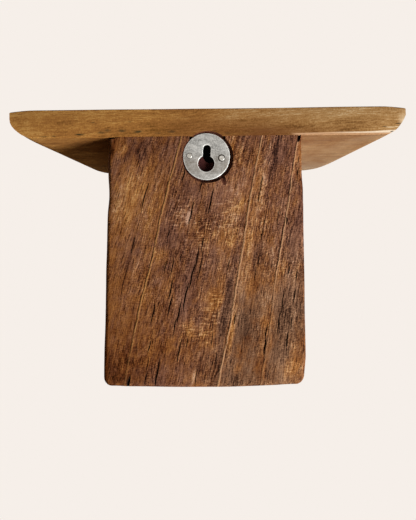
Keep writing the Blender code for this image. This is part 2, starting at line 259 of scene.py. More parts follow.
floor = start_from(
    bpy.ops.mesh.primitive_circle_add, "floor", (0, 0, FLOOR_LEVEL),
    vertices=FLOOR_CORNERS, radius=FLOOR_RADIUS, fill_type="NGON",
)
floor_paint, tree, shader = new_material("matt_floor_paint")
set_sockets(tree, shader, {"Base Color": linear(FLOOR_PAINT), "Roughness": 0.9, "Specular IOR Level": 0.0})
share = {0: seen_rays(tree), 1: FLOOR_PALENESS}
paleness = add_node(tree, "ShaderNodeMath", share, operation="MULTIPLY")[0]
pale = add_node(tree, "ShaderNodeEmission", {"Color": linear(PALE), "Strength": 1})[0]
shown = add_node(tree, "ShaderNodeMixShader", {0: paleness, 1: shader.outputs[0], 2: pale})[0]
set_sockets(tree, tree.nodes["Material Output"], {"Surface": shown})
floor.data.materials.append(floor_paint)
print("floor", FLOOR_LEVEL / MM, "mm")

# %% Lamps
MIDDLE = Vector((0, -50, -60)) * MM
KEY_DISTANCE = 900 * MM
KEY_TURN = math.radians(51)
KEY_DROP = math.radians(21)
KEY_SIZE = 310 * MM
KEY_WATTS = 12.8
FRONT_SIZE = 700 * MM
FRONT_LAMPS = {
    "front_top": ((500, -900, 800), 14),
    "front_right": ((-800, -800, 300), 8),
    "front_left": ((900, -600, 200), 5),
}


def add_lamp(name, place, size, watts):
    """A square lamp of this size that looks at the middle of the shelf."""
    lamp = bpy.data.lights.new(name, "AREA")
    lamp.size = size
    lamp.energy = watts
    lamp_object = bpy.data.objects.new(name, lamp)
    lamp_object.location = place
    lamp_object.rotation_euler = (MIDDLE - place).to_track_quat("-Z", "Y").to_euler()
    bpy.context.scene.collection.objects.link(lamp_object)


key_way = Vector((
    -math.sin(KEY_TURN) * math.cos(KEY_DROP),
    math.cos(KEY_TURN) * math.cos(KEY_DROP),
    -math.sin(KEY_DROP),
))
add_lamp("low_key", MIDDLE + key_way * KEY_DISTANCE, KEY_SIZE, KEY_WATTS)
for name, (place, watts) in FRONT_LAMPS.items():
    add_lamp(name, Vector(place) * MM, FRONT_SIZE, watts)
print("lamps:", [light.name for light in bpy.data.lights])

# %% [markdown]
# ## The block's grain
#
# The block was sawn so that its grain leans: on the back, three pale resin lines run from the top right down
# to the left and spread a little on the way. One grain value makes all of this easy. It counts millimetres
# across the grain, so every fibre, line and crack keeps one value from top to bottom. The same formula is
# used twice, in Python to place the cracks and in nodes to draw the fibres, so the two agree. Deeper in the
# wood the value bends round a far pith, as growth rings do, and the other faces get their own figure from it.

# %% The grain formula
block_low, block_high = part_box("bracket_block")
GRAIN_TOP = block_high.z / MM
GRAIN_LEAN = 0.247
GRAIN_BEND = 0.00015
GRAIN_SPREAD = 0.00106
PITH_ACROSS = -140
PITH_DEPTH = 60
PITH_RADIUS = math.hypot(PITH_ACROSS, PITH_DEPTH)
# Each line: grain value, width, strength, how far it bows, and how far down it starts to fade
RESIN_LINES = [(-16.2, 0.95, 0.92, 0, 118), (35.0, 1.05, 0.95, 1.7, 170), (58.3, 0.95, 0.9, 0, 80)]


def across_grain(x, z):
    """Millimetres across the grain for a place on the back, and millimetres down from the block's top."""
    down = GRAIN_TOP - z
    return (-x + down * (GRAIN_LEAN - GRAIN_BEND * down)) / (1 + GRAIN_SPREAD * down), down


def on_back(across, down):
    """The other way round: the place on the back, in millimetres, for a grain value."""
    x = down * (GRAIN_LEAN - GRAIN_BEND * down) - across * (1 + GRAIN_SPREAD * down)
    return x, GRAIN_TOP - down


def ring_of(across):
    """The growth ring's value where a line of the grain meets the back."""
    return math.hypot(across - PITH_ACROSS, PITH_DEPTH) - PITH_RADIUS


print("the middle line meets the top at", [round(v, 1) for v in on_back(RESIN_LINES[1][0], 0)], "mm")


# %% Fibres, masks and coats, shared by the materials
def millimetres(tree):
    """The place on the piece, in millimetres."""
    place = add_node(tree, "ShaderNodeTexCoord")["Object"]
    return add_node(tree, "ShaderNodeVectorMath", {0: place, "Scale": 1 / MM}, operation="SCALE")[0]


def fibres(tree, grain, width, depth, length, detail):
    """Streaks along the grain: a noise stretched to this width, depth and length in millimetres."""
    cell = (1 / width, 1 / depth, 1 / length)
    stretched = add_node(tree, "ShaderNodeVectorMath", {0: grain, 1: cell}, operation="MULTIPLY")[0]
    return add_node(tree, "ShaderNodeTexNoise", {"Vector": stretched, "Scale": 1, "Detail": detail})[0]


def weighted(tree, start, layers):
    """A start value plus each layer times its weight."""
    total = start
    for layer, weight in layers:
        step = {0: layer, 1: weight, 2: total}
        total = add_node(tree, "ShaderNodeMath", step, operation="MULTIPLY_ADD")[0]
    return total


def around(tree, middle, layers, weights):
    """A middle value plus named layers by weight. A half is a noise's own middle and changes nothing."""
    start = middle - sum(weights.values()) / 2
    return weighted(tree, start, [(layers[name], weight) for name, weight in weights.items()])


def product(tree, masks):
    """The product of several masks."""
    total = masks[0]
    for mask in masks[1:]:
        total = add_node(tree, "ShaderNodeMath", {0: total, 1: mask}, operation="MULTIPLY")[0]
    return total


def within(tree, *spans):
    """The product of spans. Each takes a value smoothly from its range to another one, or to 0 and 1."""
    masks = []
    for value, low, high, *to in spans:
        to_low, to_high = to or (0.0, 1.0)
        span = {"From Min": low, "From Max": high, "To Min": to_low, "To Max": to_high, "Value": value}
        masks.append(add_node(tree, "ShaderNodeMapRange", span, interpolation_type="SMOOTHSTEP")[0])
    return product(tree, masks)


def lay(tree, base, coats):
    """Lays colours over a base, one after the other, each as far as its mask says."""
    for mask, colour in coats:
        over = linear(colour) if isinstance(colour, str) else colour
        base = add_node(tree, "ShaderNodeMix", {0: mask, 6: base, 7: over}, data_type="RGBA")[2]
    return base


print("one unit of the Object coordinates is", 1 / MM, "mm")

# %% [markdown]
# ## Old timber for the block
#
# The block is an old hardwood beam, planed and waxed. The eye sees dark and golden strips that follow the
# grain, fine fibres and short open pores, pale resin lines that stand a little proud with a painted shadow
# beside them, and faint marks across the grain where a saw went through. Each of these is one noise stretched
# to its real size. Together they give a shade, and three ramps colour it: a violet brown, an olive one towards
# the right foot and an amber one. Three values painted on the mesh, tone, saw marks and gold, say where the
# beam is darker or lighter, where the saw marks show and where it turns amber. The left arris is painted a warm
# dark brown with the most gold, as painted warm shade, and the right arris is painted darker, as painted shade.

# %% Grain and resin lines of the timber
GRAIN_DRIFT = 3.0
RESIN_WOBBLE = 1.5
RESIN_FADE = 30


def timber_grain(tree):
    """The grain for the nodes: a vector of ring value, depth and millimetres down, and two of them alone."""
    scaled = millimetres(tree)
    x, y, z = add_node(tree, "ShaderNodeSeparateXYZ", {0: scaled})
    down = weighted(tree, GRAIN_TOP, [(z, -1.0)])
    leaning = product(tree, [down, weighted(tree, GRAIN_LEAN, [(down, -GRAIN_BEND)])])
    ratio = {0: weighted(tree, leaning, [(x, -1.0)]), 1: weighted(tree, 1.0, [(down, GRAIN_SPREAD)])}
    across = add_node(tree, "ShaderNodeMath", ratio, operation="DIVIDE")[0]
    drift = fibres(tree, scaled, 30, 30, 55, 1.0)
    from_pith = weighted(tree, -PITH_ACROSS - GRAIN_DRIFT / 2, [(across, 1.0), (drift, GRAIN_DRIFT)])
    depth = weighted(tree, -PITH_DEPTH, [(y, 1.0)])
    spoke = add_node(tree, "ShaderNodeCombineXYZ", {0: from_pith, 1: depth})[0]
    radius = add_node(tree, "ShaderNodeVectorMath", {0: spoke}, operation="LENGTH")["Value"]
    ring = weighted(tree, -PITH_RADIUS, [(radius, 1.0)])
    return add_node(tree, "ShaderNodeCombineXYZ", {0: ring, 1: y, 2: down})[0], ring, down


def resin_lines(tree, grain, ring, down):
    """Two masks: one on the thin resin ridges, which come and go, and one on the grooves beside them, which
    also darkens the colour as painted shadow.
    """
    wobble = fibres(tree, grain, 12, 12, 7, 3.0)
    breaks = fibres(tree, grain, 9, 9, 5, 3.0)
    bowed = within(tree, (down, 15, 85), (down, 115, 145, 1.0, 0.0))
    ridges, grooves_and_shadow = 0.0, 0.0
    for line, width, strength, bow, fade in RESIN_LINES:
        start = -ring_of(line) - RESIN_WOBBLE / 2
        off = weighted(tree, start, [(ring, 1.0), (wobble, RESIN_WOBBLE), (bowed, -bow)])
        beside = weighted(tree, 0.95 * width, [(off, 1.0)])
        away = [add_node(tree, "ShaderNodeMath", {0: way}, operation="ABSOLUTE")[0] for way in (off, beside)]
        whole = 0.62 - 0.35 * strength
        ridge = within(
            tree,
            (away[0], 0.2 * width, 0.65 * width, strength, 0.0),
            (breaks, whole, whole + 0.16, 0.1, 1.0),
            (down, fade, fade + RESIN_FADE, 1.0, 0.25),
        )
        groove_and_shadow = within(tree, (away[1], 0.15 * width, 0.6 * width, strength, 0.0))
        ridges = add_node(tree, "ShaderNodeMath", {0: ridge, 1: ridges}, operation="MAXIMUM")[0]
        grooves_and_shadow = add_node(tree, "ShaderNodeMath", {0: groove_and_shadow, 1: grooves_and_shadow}, operation="MAXIMUM")[0]
    return ridges, grooves_and_shadow


print(len(RESIN_LINES), "resin lines")

# %% Layers and colours of old timber
# Each layer: width, depth and length in millimetres, and how much finer detail it has. Real fibres are finer
# than 0.75 mm, but nothing narrower would show.
TIMBER_LAYERS = {
    "strips": (8, 10, 90, 3.0), "streaks": (1.7, 2.5, 20, 4.0), "fine": (0.75, 1, 6.5, 2.0),
    "grit": (0.75, 0.8, 0.85, 2.0), "ticks": (1.8, 3, 0.8, 2.0), "blotches": (9, 9, 12, 4.0),
    "pores": (0.8, 1, 6, 2.0), "saw": (6, 5, 1.2, 3.0), "polish": (12, 20, 22, 2.0),
    "patches": (3, 6, 5, 3.0), "amber": (10, 12, 24, 4.0), "amber_flecks": (2, 3, 5, 2.0),
}
TIMBER_RELIEF = {"streaks": 0.58, "fine": 1.15, "grit": 0.86, "ticks": 0.8}
TIMBER_FIGURE = {"strips": 0.5, "blotches": 0.4}
TIMBER_SHADE = 0.505
VIOLET = [(0.0, "#2c1a15"), (0.25, "#543428"), (0.5, "#7a5240"), (0.75, "#976a52"), (1.0, "#c0957a")]
OLIVE = [(0.0, "#2b1b13"), (0.25, "#523827"), (0.5, "#76563e"), (0.75, "#947052"), (1.0, "#bd9977")]
AMBER = [(0.0, "#381a06"), (0.25, "#633519"), (0.5, "#88542a"), (0.75, "#a8703d"), (1.0, "#cf9c61")]
RESIN_LEFT = "#b07f4b"
RESIN_RIGHT = "#be9068"
# Painted warm shade for the left arris
WARM_ARRIS_SHADE = "#6b3512"
PAINTED = ("tone", "saw_marks", "gold")

print("timber layers:", list(TIMBER_LAYERS))


# %% Old timber
def old_timber():
    """Waxed old hardwood, with the values painted on the mesh."""
    material, tree, shader = new_material("waxed_old_hardwood")
    grain, ring, down = timber_grain(tree)
    layers = {name: fibres(tree, grain, *size) for name, size in TIMBER_LAYERS.items()}
    painted = [add_node(tree, "ShaderNodeAttribute", attribute_name=name)["Fac"] for name in PAINTED]
    tone, saw_marks, gold = painted
    ridges, grooves_and_shadow = resin_lines(tree, grain, ring, down)
    calm = weighted(tree, within(tree, (ring, -50, 5, 0.62, 1.07)), [(within(tree, (down, 88, 122)), -0.18)])
    relief = around(tree, 0.0, layers, TIMBER_RELIEF)
    relief = product(tree, [relief, within(tree, (layers["polish"], 0.35, 0.65, 0.6, 1.2)), calm])
    figure = product(tree, [around(tree, 0.0, layers, TIMBER_FIGURE), calm])
    tone = product(tree, [tone, within(tree, (layers["patches"], 0.3, 0.7, 0.6, 1.4))])
    pores = within(tree, (layers["pores"], 0.58, 0.7))
    cross = product(tree, [saw_marks, within(tree, (layers["saw"], 0.5, 0.66))])
    # The grooves beside the resin lines darken the colour: a painted shadow of the ridges
    shade = weighted(tree, TIMBER_SHADE, [
        (relief, 1.0), (figure, 1.0), (tone, 1.3), (pores, -0.2), (cross, 0.44), (grooves_and_shadow, -0.09),
    ])
    ramps = [add_node(tree, "ShaderNodeValToRGB", {0: shade}, ramp)[0] for ramp in (VIOLET, OLIVE, AMBER)]
    violet_wood, olive_wood, amber_wood = ramps
    hue = weighted(tree, 0.12, [
        (layers["amber"], 0.65), (layers["amber_flecks"], 0.35), (gold, 0.5),
        (within(tree, (ring, -50, 10)), -0.12),
    ])
    resin = lay(tree, linear(RESIN_LEFT), [(within(tree, (ring, -10, 30)), RESIN_RIGHT)])
    wood = lay(tree, violet_wood, [
        (within(tree, (ring, 5, 45), (down, 40, 120, 0.0, 0.75)), olive_wood),
        (within(tree, (hue, 0.33, 0.75)), amber_wood),
        (product(tree, [ridges, 0.8]), resin),
        # Painted warm shade on the left arris, where gold is highest
        (within(tree, (gold, 0.9, 1.3, 0.0, 0.75)), WARM_ARRIS_SHADE),
    ])
    height = weighted(tree, 0.0, [
        (relief, 1.0), (pores, -0.5), (cross, 0.25), (ridges, 0.6), (grooves_and_shadow, -0.25),
    ])
    roughness = weighted(tree, 0.75, [(shade, -0.16)])
    gloss = {"Specular IOR Level": 0.015}
    set_finish(tree, shader, wood, roughness, height, strength=0.9, depth=0.55, others=gloss)
    return material


timber = old_timber()
print(timber.name, len(timber.node_tree.nodes), "nodes")

# %% [markdown]
# ## Wood that was never waxed
#
# Three places show raw wood. The inside of a crack is painted almost black, for old dust and as painted shade
# deep in it, the recess that was bored for the plate shows reddish fresh wood, and the pocket behind the
# keyhole is the same wood, but darker. All are rough and have hardly any shine, so a speckle of two tones and
# a strong bump are enough.


# %% Raw wood
def raw_wood(name, dark, light, speck):
    """Rough wood in two tones, with specks of this width in millimetres."""
    material, tree, shader = new_material(name)
    grit = fibres(tree, millimetres(tree), speck, speck, 3 * speck, 3.0)
    colour = add_node(tree, "ShaderNodeValToRGB", {0: grit}, [(0.35, dark), (0.65, light)])[0]
    gloss = {"Specular IOR Level": 0.1}
    set_finish(tree, shader, colour, 0.9, grit, strength=0.7, depth=0.3, others=gloss)
    return material


# Near black inside cracks and the deep pocket: old dust and painted shade
crack_dust_and_shade = raw_wood("crack_wood_dust_and_painted_shade", "#140a06", "#2c1a10", 0.8)
bored_wood = raw_wood("fresh_bored_wood", "#3e2015", "#633828", 1.0)
pocket_wood = raw_wood("fresh_pocket_wood", "#2a1110", "#4a241f", 1.6)
print(crack_dust_and_shade.name, bored_wood.name, pocket_wood.name)

# %% [markdown]
# ## The block's body
#
# The block is a beam's end: flat behind, a little wider at its foot, with a cove sawn into its front. It
# could be cut from a cube with a round cutter, but sawing the cube into levels and pulling each level forward
# gives the cove clean strips and needs no cutter. The arrises are bevelled, and a voxel remesh then spreads
# small even faces over the whole body, which the wear in the next step needs. The wear takes wood away, so
# the body starts a little wider than its solid, and its top stands past the joint until it is sawn flat.

# %% Sizes of the block
BLOCK_SIDE_SPARE = 0.65 * MM
BLOCK_TOP_WIDTH = 122 * MM + 2 * BLOCK_SIDE_SPARE
BLOCK_OFFSET_X = 1 * MM
BLOCK_TOE_DEPTH = 40 * MM
BLOCK_NOSE_HEIGHT = 24 * MM
BLOCK_TOE_HEIGHT = 30 * MM

block_height = block_high.z - block_low.z
foot_width = block_high.x - block_low.x + 2 * BLOCK_SIDE_SPARE
foot_middle = (block_high.x + block_low.x) / 2
cove_depth = -block_low.y - BLOCK_TOE_DEPTH
cove_height = block_height - BLOCK_NOSE_HEIGHT - BLOCK_TOE_HEIGHT
print("cove", round(cove_depth / MM, 1), "x", round(cove_height / MM, 1), "mm")

# %% Saw and pull the cove
COVE_STEPS = 24
NEAR_TOP = 1 * MM

block = start_from(
    bpy.ops.mesh.primitive_cube_add, "timber_block",
    (BLOCK_OFFSET_X, -BLOCK_TOE_DEPTH / 2, (block_low.z + block_high.z) / 2),
    (BLOCK_TOP_WIDTH, BLOCK_TOE_DEPTH, block_height),
    size=1,
)
bpy.ops.object.mode_set(mode="EDIT")
pick(block, "VERT", lambda vert: vert.co.z < MIDDLE.z)
bpy.ops.transform.resize(value=(foot_width / BLOCK_TOP_WIDTH, 1, 1), center_override=(BLOCK_OFFSET_X, 0, 0))
bpy.ops.transform.translate(value=(foot_middle - BLOCK_OFFSET_X, 0, 0))
angles = [math.pi / 2 * step / COVE_STEPS for step in range(COVE_STEPS + 1)]
levels = [block_low.z + BLOCK_TOE_HEIGHT + cove_height * math.sin(angle) for angle in angles]
for level in levels:
    bpy.ops.mesh.select_all(action="SELECT")
    bpy.ops.mesh.bisect(plane_co=(0, 0, level), plane_no=(0, 0, 1))
for angle, level in zip(angles, levels):
    pick(block, "VERT", lambda vert: abs(vert.co.z - level) < SLACK and vert.co.y < -BLOCK_TOE_DEPTH / 2)
    bpy.ops.transform.translate(value=(0, -cove_depth * (1 - math.cos(angle)), 0))
pick(block, "VERT", lambda vert: vert.co.z > block_high.z - NEAR_TOP and vert.co.y < -BLOCK_TOE_DEPTH / 2)
bpy.ops.transform.translate(value=(0, -cove_depth, 0))
print("cove in", COVE_STEPS, "strips")

# %% Bevel the arrises and remesh
FOOT_CORNER = 5.5 * MM
FOOT_CORNER_STEPS = 6
BLOCK_EDGE_EASE = 2.2 * MM
BLOCK_EDGE_STEPS = 3
BLOCK_TOP_SPARE = 2 * MM
SHARP = math.radians(35)
VOXEL = 1.15 * MM


def foot_corner(side):
    """A rule for pick: the edges round one side of the foot."""
    return lambda edge: all_at(2, block_low.z)(edge) and all(vert.co.x * side > 0 for vert in edge.verts)


def open_arris(edge):
    """A rule for pick: sharp edges, apart from those of the joint with the board."""
    return edge.calc_face_angle(0) > SHARP and not all_at(2, block_high.z)(edge)


for side in (1, -1):
    bevel(block, foot_corner(side), FOOT_CORNER, FOOT_CORNER_STEPS)
bevel(block, open_arris, BLOCK_EDGE_EASE, BLOCK_EDGE_STEPS)
pick(block, "VERT", lambda vert: vert.co.z > block_high.z - SLACK)
bpy.ops.transform.translate(value=(0, 0, BLOCK_TOP_SPARE))
bpy.ops.object.mode_set(mode="OBJECT")
apply_modifier(block, "REMESH", mode="VOXEL", voxel_size=VOXEL)
block.data.materials.append(timber)
print("block has", len(block.data.polygons), "faces")

# %% [markdown]
# ## Wear
#
# Old timber is never flat. Sculpting would press it with a brush; in code the same thing is a small move of
# each vertex along its normal, set by a soft noise. Faces get shallow waves, arrises lose more, and a few
# places are pressed one by one: the splintered corner at the top right, a dent on the left edge and the corners
# of the foot. Two places swell instead: the foot bellies a little, and so does the left edge. Last, the top
# is sawn off flat, just under the board.


# %% Vertex places as arrays
def places_of(piece):
    """All vertices of the piece in millimetres."""
    places = np.empty(3 * len(piece.data.vertices), np.float32)
    piece.data.vertices.foreach_get("co", places)
    return places.reshape(-1, 3) / MM


def normals_of(piece):
    """The normals of all vertices."""
    normals = np.empty(3 * len(piece.data.vertices), np.float32)
    piece.data.vertex_normals.foreach_get("vector", normals)
    return normals.reshape(-1, 3)


def set_places(piece, places):
    """Moves all vertices to these places in millimetres."""
    piece.data.vertices.foreach_set("co", (places * MM).astype(np.float32).ravel())
    piece.data.update()


def soft_noise(places, size, seed):
    """A smooth noise between -1 and 1. Its waves have this size in millimetres, or one for each axis."""
    shift = Vector((seed, 2 * seed, 3 * seed))
    return np.array([noise.noise(Vector(place) + shift) for place in places / np.array(size)])


def hump(value, middle, half):
    """A soft hump: one in the middle, falling to nothing past its half width."""
    return np.exp(-(((value - middle) / half) ** 2))


def rising(value, start, end):
    """Nothing up to the start, one from the end on and an even slope between, upwards or downwards."""
    return np.clip((value - start) / (end - start), 0, 1)


print("block has", len(places_of(block)), "vertices to wear")

# %% Wear the block
FACE_WAVE = 0.22
FACE_WAVE_SIZE = 24
ARRIS_NORMAL = (0.97, 0.82)
ARRIS_LOSS = 1.0
ARRIS_CHIP_SIZE = (7, 7, 10)
ARRIS_CHIP_SHARE = 0.1
SPLINTER_DEPTH = 1.3
SPLINTER_RIDGE = 0.35
SPLINTER_SIZE = (1.6, 4, 14)
EDGE_DENT = 0.9
FOOT_BELLY = 1.4
LEFT_BELLY = 0.4
RIGHT_FOOT_LOSS = 1.5
LEFT_FOOT_LOSS = 0.35
RIGHT_FOOT_RISE = 0.5

# Where each place begins, ends or lies is read off the picture, in millimetres across the grain, down from
# the block's top or along an axis
places = places_of(block)
x, y, z = places.T
across, down = across_grain(x, z)
normals = normals_of(block)
arris = rising(np.abs(normals).max(axis=1), *ARRIS_NORMAL)
loss = FACE_WAVE * (1 + soft_noise(places, FACE_WAVE_SIZE, seed=3.1))
chips = np.clip(soft_noise(places, ARRIS_CHIP_SIZE, seed=7.7) + ARRIS_CHIP_SHARE, 0, 1)
loss += arris * ARRIS_LOSS * chips
splinter = rising(across, 56, 59) * rising(down, 33, 28) * rising(down, 1, 4) * rising(y, -6, 0)
ridges = soft_noise(np.stack([across, y, down], 1), SPLINTER_SIZE, seed=1.3)
loss += SPLINTER_DEPTH * splinter * (1 - SPLINTER_RIDGE + SPLINTER_RIDGE * ridges)
left_edge = rising(x, 56, 62)
loss += EDGE_DENT * hump(down, 36, 9) * left_edge * hump(y, 0, 30)
places -= normals * loss[:, None]
z -= FOOT_BELLY * rising(z, -100, -150) ** 2 * hump(x, 2, 48)
x += LEFT_BELLY * left_edge * (hump(down, 138, 18) + 0.6 * hump(down, 84, 12))
x += RIGHT_FOOT_LOSS * rising(x, -52, -58) * rising(down, 140, 155)
z += rising(down, 150, 155) * (LEFT_FOOT_LOSS * hump(x, 59, 5) + RIGHT_FOOT_RISE * hump(x, -52, 8))
set_places(block, places)
print("deepest wear", round(float(loss.max()), 2), "mm")

# %% Saw the block's top flat
JOINT_GAP = 0.03 * MM

board_low, board_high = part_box("shelf_board")
joint = (0, 0, board_low.z - JOINT_GAP)
bpy.ops.object.mode_set(mode="EDIT")
bpy.ops.mesh.select_all(action="SELECT")
bpy.ops.mesh.bisect(plane_co=joint, plane_no=(0, 0, 1), use_fill=True, clear_outer=True)
bpy.ops.object.mode_set(mode="OBJECT")
print("block sawn off at", round(joint[2] / MM, 2), "mm")

# %% [markdown]
# ## Recess, pocket and screw holes
#
# The plate lies in a round recess that was bored across the joint, a little loose and a little off, with a
# worn mouth. Board and block both get it, so its cutter is a function. Behind the keyhole's entry the wood is
# hollowed into a shallow dish, a bore whose end is poked and pushed in. A deep pocket above it, a bore whose
# upper half is pulled up, takes the head of the wall screw. The holes for pins and screws are plain bores.

# %% Sizes of the plate and its recess
PLATE_DIAMETER = 29.6 * MM
PLATE_TILT = math.radians(3.5)
RECESS_CLEARANCE = 1.2 * MM
RECESS_EASE = 0.5 * MM
RECESS_DEPTH = 2.5 * MM
RECESS_OFFSET = Vector((-0.8 * MM, 0, -0.35 * MM))
CUT_PAST = 2 * MM
LIE_BACK = (math.radians(90), 0, 0)
RECESS_CORNERS = 96
BORE_CORNERS = 64

plate_low, plate_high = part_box("keyhole_plate")
plate_middle = (plate_low + plate_high) / 2
plate_middle.y = 0
print("plate in the middle of", [round(v / MM, 1) for v in plate_middle], "mm")


# %% Cutters for bores and the recess
def bore(name, radius, depth, place, turn=LIE_BACK, corners=BORE_CORNERS):
    """A round cutter that goes this deep into the wood from a place on its surface."""
    inward = Vector((0, -1, 0)) if turn == LIE_BACK else Vector((0, 0, -1))
    return start_from(
        bpy.ops.mesh.primitive_cylinder_add, name, place + inward * (depth - CUT_PAST) / 2, turn=turn,
        vertices=corners, radius=radius, depth=depth + CUT_PAST,
    )


def recess():
    """A round cutter whose mouth opens wider, because the edge of the recess is worn."""
    radius = PLATE_DIAMETER / 2 + RECESS_CLEARANCE
    middle = plate_middle + RECESS_OFFSET
    cutter = bore("recess", radius, RECESS_DEPTH, middle, corners=RECESS_CORNERS)
    bpy.ops.object.mode_set(mode="EDIT")
    bpy.ops.mesh.select_all(action="SELECT")
    bpy.ops.mesh.bisect(plane_co=(0, -RECESS_EASE, 0), plane_no=(0, 1, 0))
    pick(cutter, "VERT", lambda vert: vert.co.y > 0)
    wider = 1 + (CUT_PAST + RECESS_EASE) / radius
    bpy.ops.transform.resize(value=(wider, 1, wider), center_override=middle)
    bpy.ops.object.mode_set(mode="OBJECT")
    return cutter


def on_plate(across, up):
    """A place on the wall plane, given across and up from the middle of the tilted plate."""
    cos, sin = math.cos(PLATE_TILT), math.sin(PLATE_TILT)
    return plate_middle + Vector((across * cos - up * sin, 0, across * sin + up * cos))


print("recess", round((PLATE_DIAMETER + 2 * RECESS_CLEARANCE) / MM, 1), "mm across")

# %% Bore the block
HANG_RISE = 5 * MM
ENTRY_DROP = 4.4 * MM
POCKET_RADIUS = 6 * MM
DISH_LIP = 0.2 * MM
DISH_DEPTH = 2.2 * MM
SLOT_POCKET_RADIUS = 4.5 * MM
SLOT_POCKET_DEPTH = 8.5 * MM
SLOT_POCKET_BOTTOM = 1.3 * MM
SLOT_POCKET_SIDE = -2 * MM

entry = on_plate(0, -ENTRY_DROP)
dish = bore("dish", POCKET_RADIUS, RECESS_DEPTH + DISH_LIP, entry)
bpy.ops.object.mode_set(mode="EDIT")
pick(dish, "FACE", lambda face: face.normal.y < -FACING)
bpy.ops.mesh.poke()
pick(dish, "VERT", lambda vert: (vert.co - entry).xz.length < POCKET_RADIUS / 2)
bpy.ops.transform.translate(value=(0, -DISH_DEPTH, 0))
bpy.ops.object.mode_set(mode="OBJECT")
pocket_end = on_plate(SLOT_POCKET_SIDE, SLOT_POCKET_BOTTOM)
slot_pocket = bore("slot_pocket", SLOT_POCKET_RADIUS, RECESS_DEPTH + SLOT_POCKET_DEPTH, pocket_end)
bpy.ops.object.mode_set(mode="EDIT")
pick(slot_pocket, "VERT", lambda vert: vert.co.z > pocket_end.z)
bpy.ops.transform.translate(value=on_plate(0, HANG_RISE) - pocket_end)
bpy.ops.object.mode_set(mode="OBJECT")
cut(block, recess(), bored_wood)
cut(block, dish, pocket_wood)
cut(block, slot_pocket, crack_dust_and_shade)
print(len(block.data.polygons), "faces with recess and pocket")

# %% Bore the holes for pins and screws
PIN_REACH = 10.5 * MM
PIN_NUDGES = {"left": Vector((0.8 * MM, 0, -0.4 * MM)), "right": Vector((0.3 * MM, 0, 0))}
PIN_BORE = 1.2 * MM
PIN_BORE_DEPTH = 17.2 * MM
SCREW_BORE = 2.3 * MM
SCREW_SPARE = 1 * MM
HOLE_CORNERS = 16
STANDING = (0, 0, 0)

pin_places = {
    "left": on_plate(-PIN_REACH, 0) + PIN_NUDGES["left"],
    "right": on_plate(PIN_REACH, 0) + PIN_NUDGES["right"],
}
screw_nodes = [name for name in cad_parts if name.startswith("shelf_screw")]
screw_boxes = {name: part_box(name) for name in screw_nodes}


def over_screw(name, level):
    """The place over a screw's middle at this level."""
    low, high = screw_boxes[name]
    return Vector(((low.x + high.x) / 2, (low.y + high.y) / 2, level))


holes = []
for place in pin_places.values():
    holes.append(bore("pin_hole", PIN_BORE, PIN_BORE_DEPTH, place, corners=HOLE_CORNERS))
for name in screw_nodes:
    top = over_screw(name, block_high.z)
    depth = top.z - screw_boxes[name][0].z + SCREW_SPARE
    holes.append(bore("screw_hole", SCREW_BORE, depth, top, STANDING, HOLE_CORNERS))
cut(block, join(holes), bored_wood)
print(len(block.data.polygons), "faces after boring")

# %% [markdown]
# ## Cracks
#
# Drying opened the beam along its grain. Each crack is a thin, long cone pushed into the back: its base is
# the crack's outline and its point the crack's bottom, and a soft noise bends it a little. The cracks were
# read off the picture one by one as a grain value, where the crack starts and ends on the way down, and how
# wide it is. A few wider cones are chips, each given by two places on the back and a width: where the block's
# top corners broke, at the edge of the recess, and at the foot.

# %% Places of cracks and chips
CRACK_DEPTH = 3.5 * MM
RECESS_CHIP_DEPTH = 2 * MM
CRACK_CORNERS = 14
CRACK_WIDEN = 1.1
CRACK_WANDER = 0.8 * MM
CRACK_WAVE = 5 * MM
CRACK_RUN_OUT = 0.25
BLADE_SPARE = 1 * MM
CRACKS = [
    (-29.5, 31, 44, 0.7), (-29.0, 64, 73, 0.8), (-29.2, 81, 96, 0.45), (-8.7, 20, 27, 0.9),
    (3.5, 28, 34, 0.7), (11.6, 35, 47, 0.9), (1.2, 43, 54, 0.9), (-9.6, 59, 63.5, 0.7),
    (11.9, 64, 72, 0.7), (13.4, 75, 88, 0.7), (10.2, 70, 82, 0.85), (9.4, 82.5, 94, 1.0),
    (8.2, 94.5, 107.5, 1.1), (6.2, 106, 116, 1.0), (5.4, 116.5, 125, 0.8), (-3.0, 77, 86, 0.6),
    (-7.2, 79, 84, 0.6), (0.8, 75, 79, 0.5), (-1.2, 92, 101, 0.9), (0.3, 101.5, 111, 0.9),
    (-8.3, 107, 116.5, 0.9), (-6.5, 129, 135, 0.8), (-5.6, 141, 147, 0.5), (0.6, 143, 159, 1.0),
    (-5.0, 149, 156, 0.8), (10.6, 129, 140, 0.8), (14.0, 127, 132, 0.6), (22.4, 148, 157, 0.6),
    (29.6, 79, 84, 0.6), (27.4, 124, 131, 0.5), (31.5, 137, 143, 0.5), (38.6, 112, 118, 0.7),
    (40.0, 27, 35, 0.8), (39.8, 36.5, 41, 0.6), (46.3, 49, 56, 0.5), (45.8, 59, 65, 0.6),
    (46.5, 75, 82, 0.5), (46.0, 84, 91, 0.5), (53.8, 46, 56, 0.5), (59.3, 52, 55.5, 1.0),
    (57.0, 120, 127.5, 0.8), (57.4, 128, 137, 1.1), (65.0, 83, 87, 0.7), (70.0, 86, 91, 0.7),
    (64.0, 99, 111, 0.6), (63.2, 112.5, 124, 0.6), (70.3, 98, 106, 0.6), (69.4, 125, 132, 1.0),
    (70.5, 114, 121, 0.6), (60.6, 12, 18, 0.6), (61.6, 20, 26, 0.8),
]
CHIPS = [
    ((-59.3, 10.7), (-57.8, 2.7), 2.4),
    ((49.9, -142.3), (52.5, -154.3), 2.2),
    ((9.8, 9), (10.6, 4), 2.4),
    ((-10.2, 9), (-11, 2.5), 2.4),
    ((66, 7.0), (55, 8.2), 1.8),
]
RECESS_CHIP = ((-8.0, -13), (-11.6, -24), 3.2)

print(len(CRACKS), "cracks,", len(CHIPS) + 1, "chips")


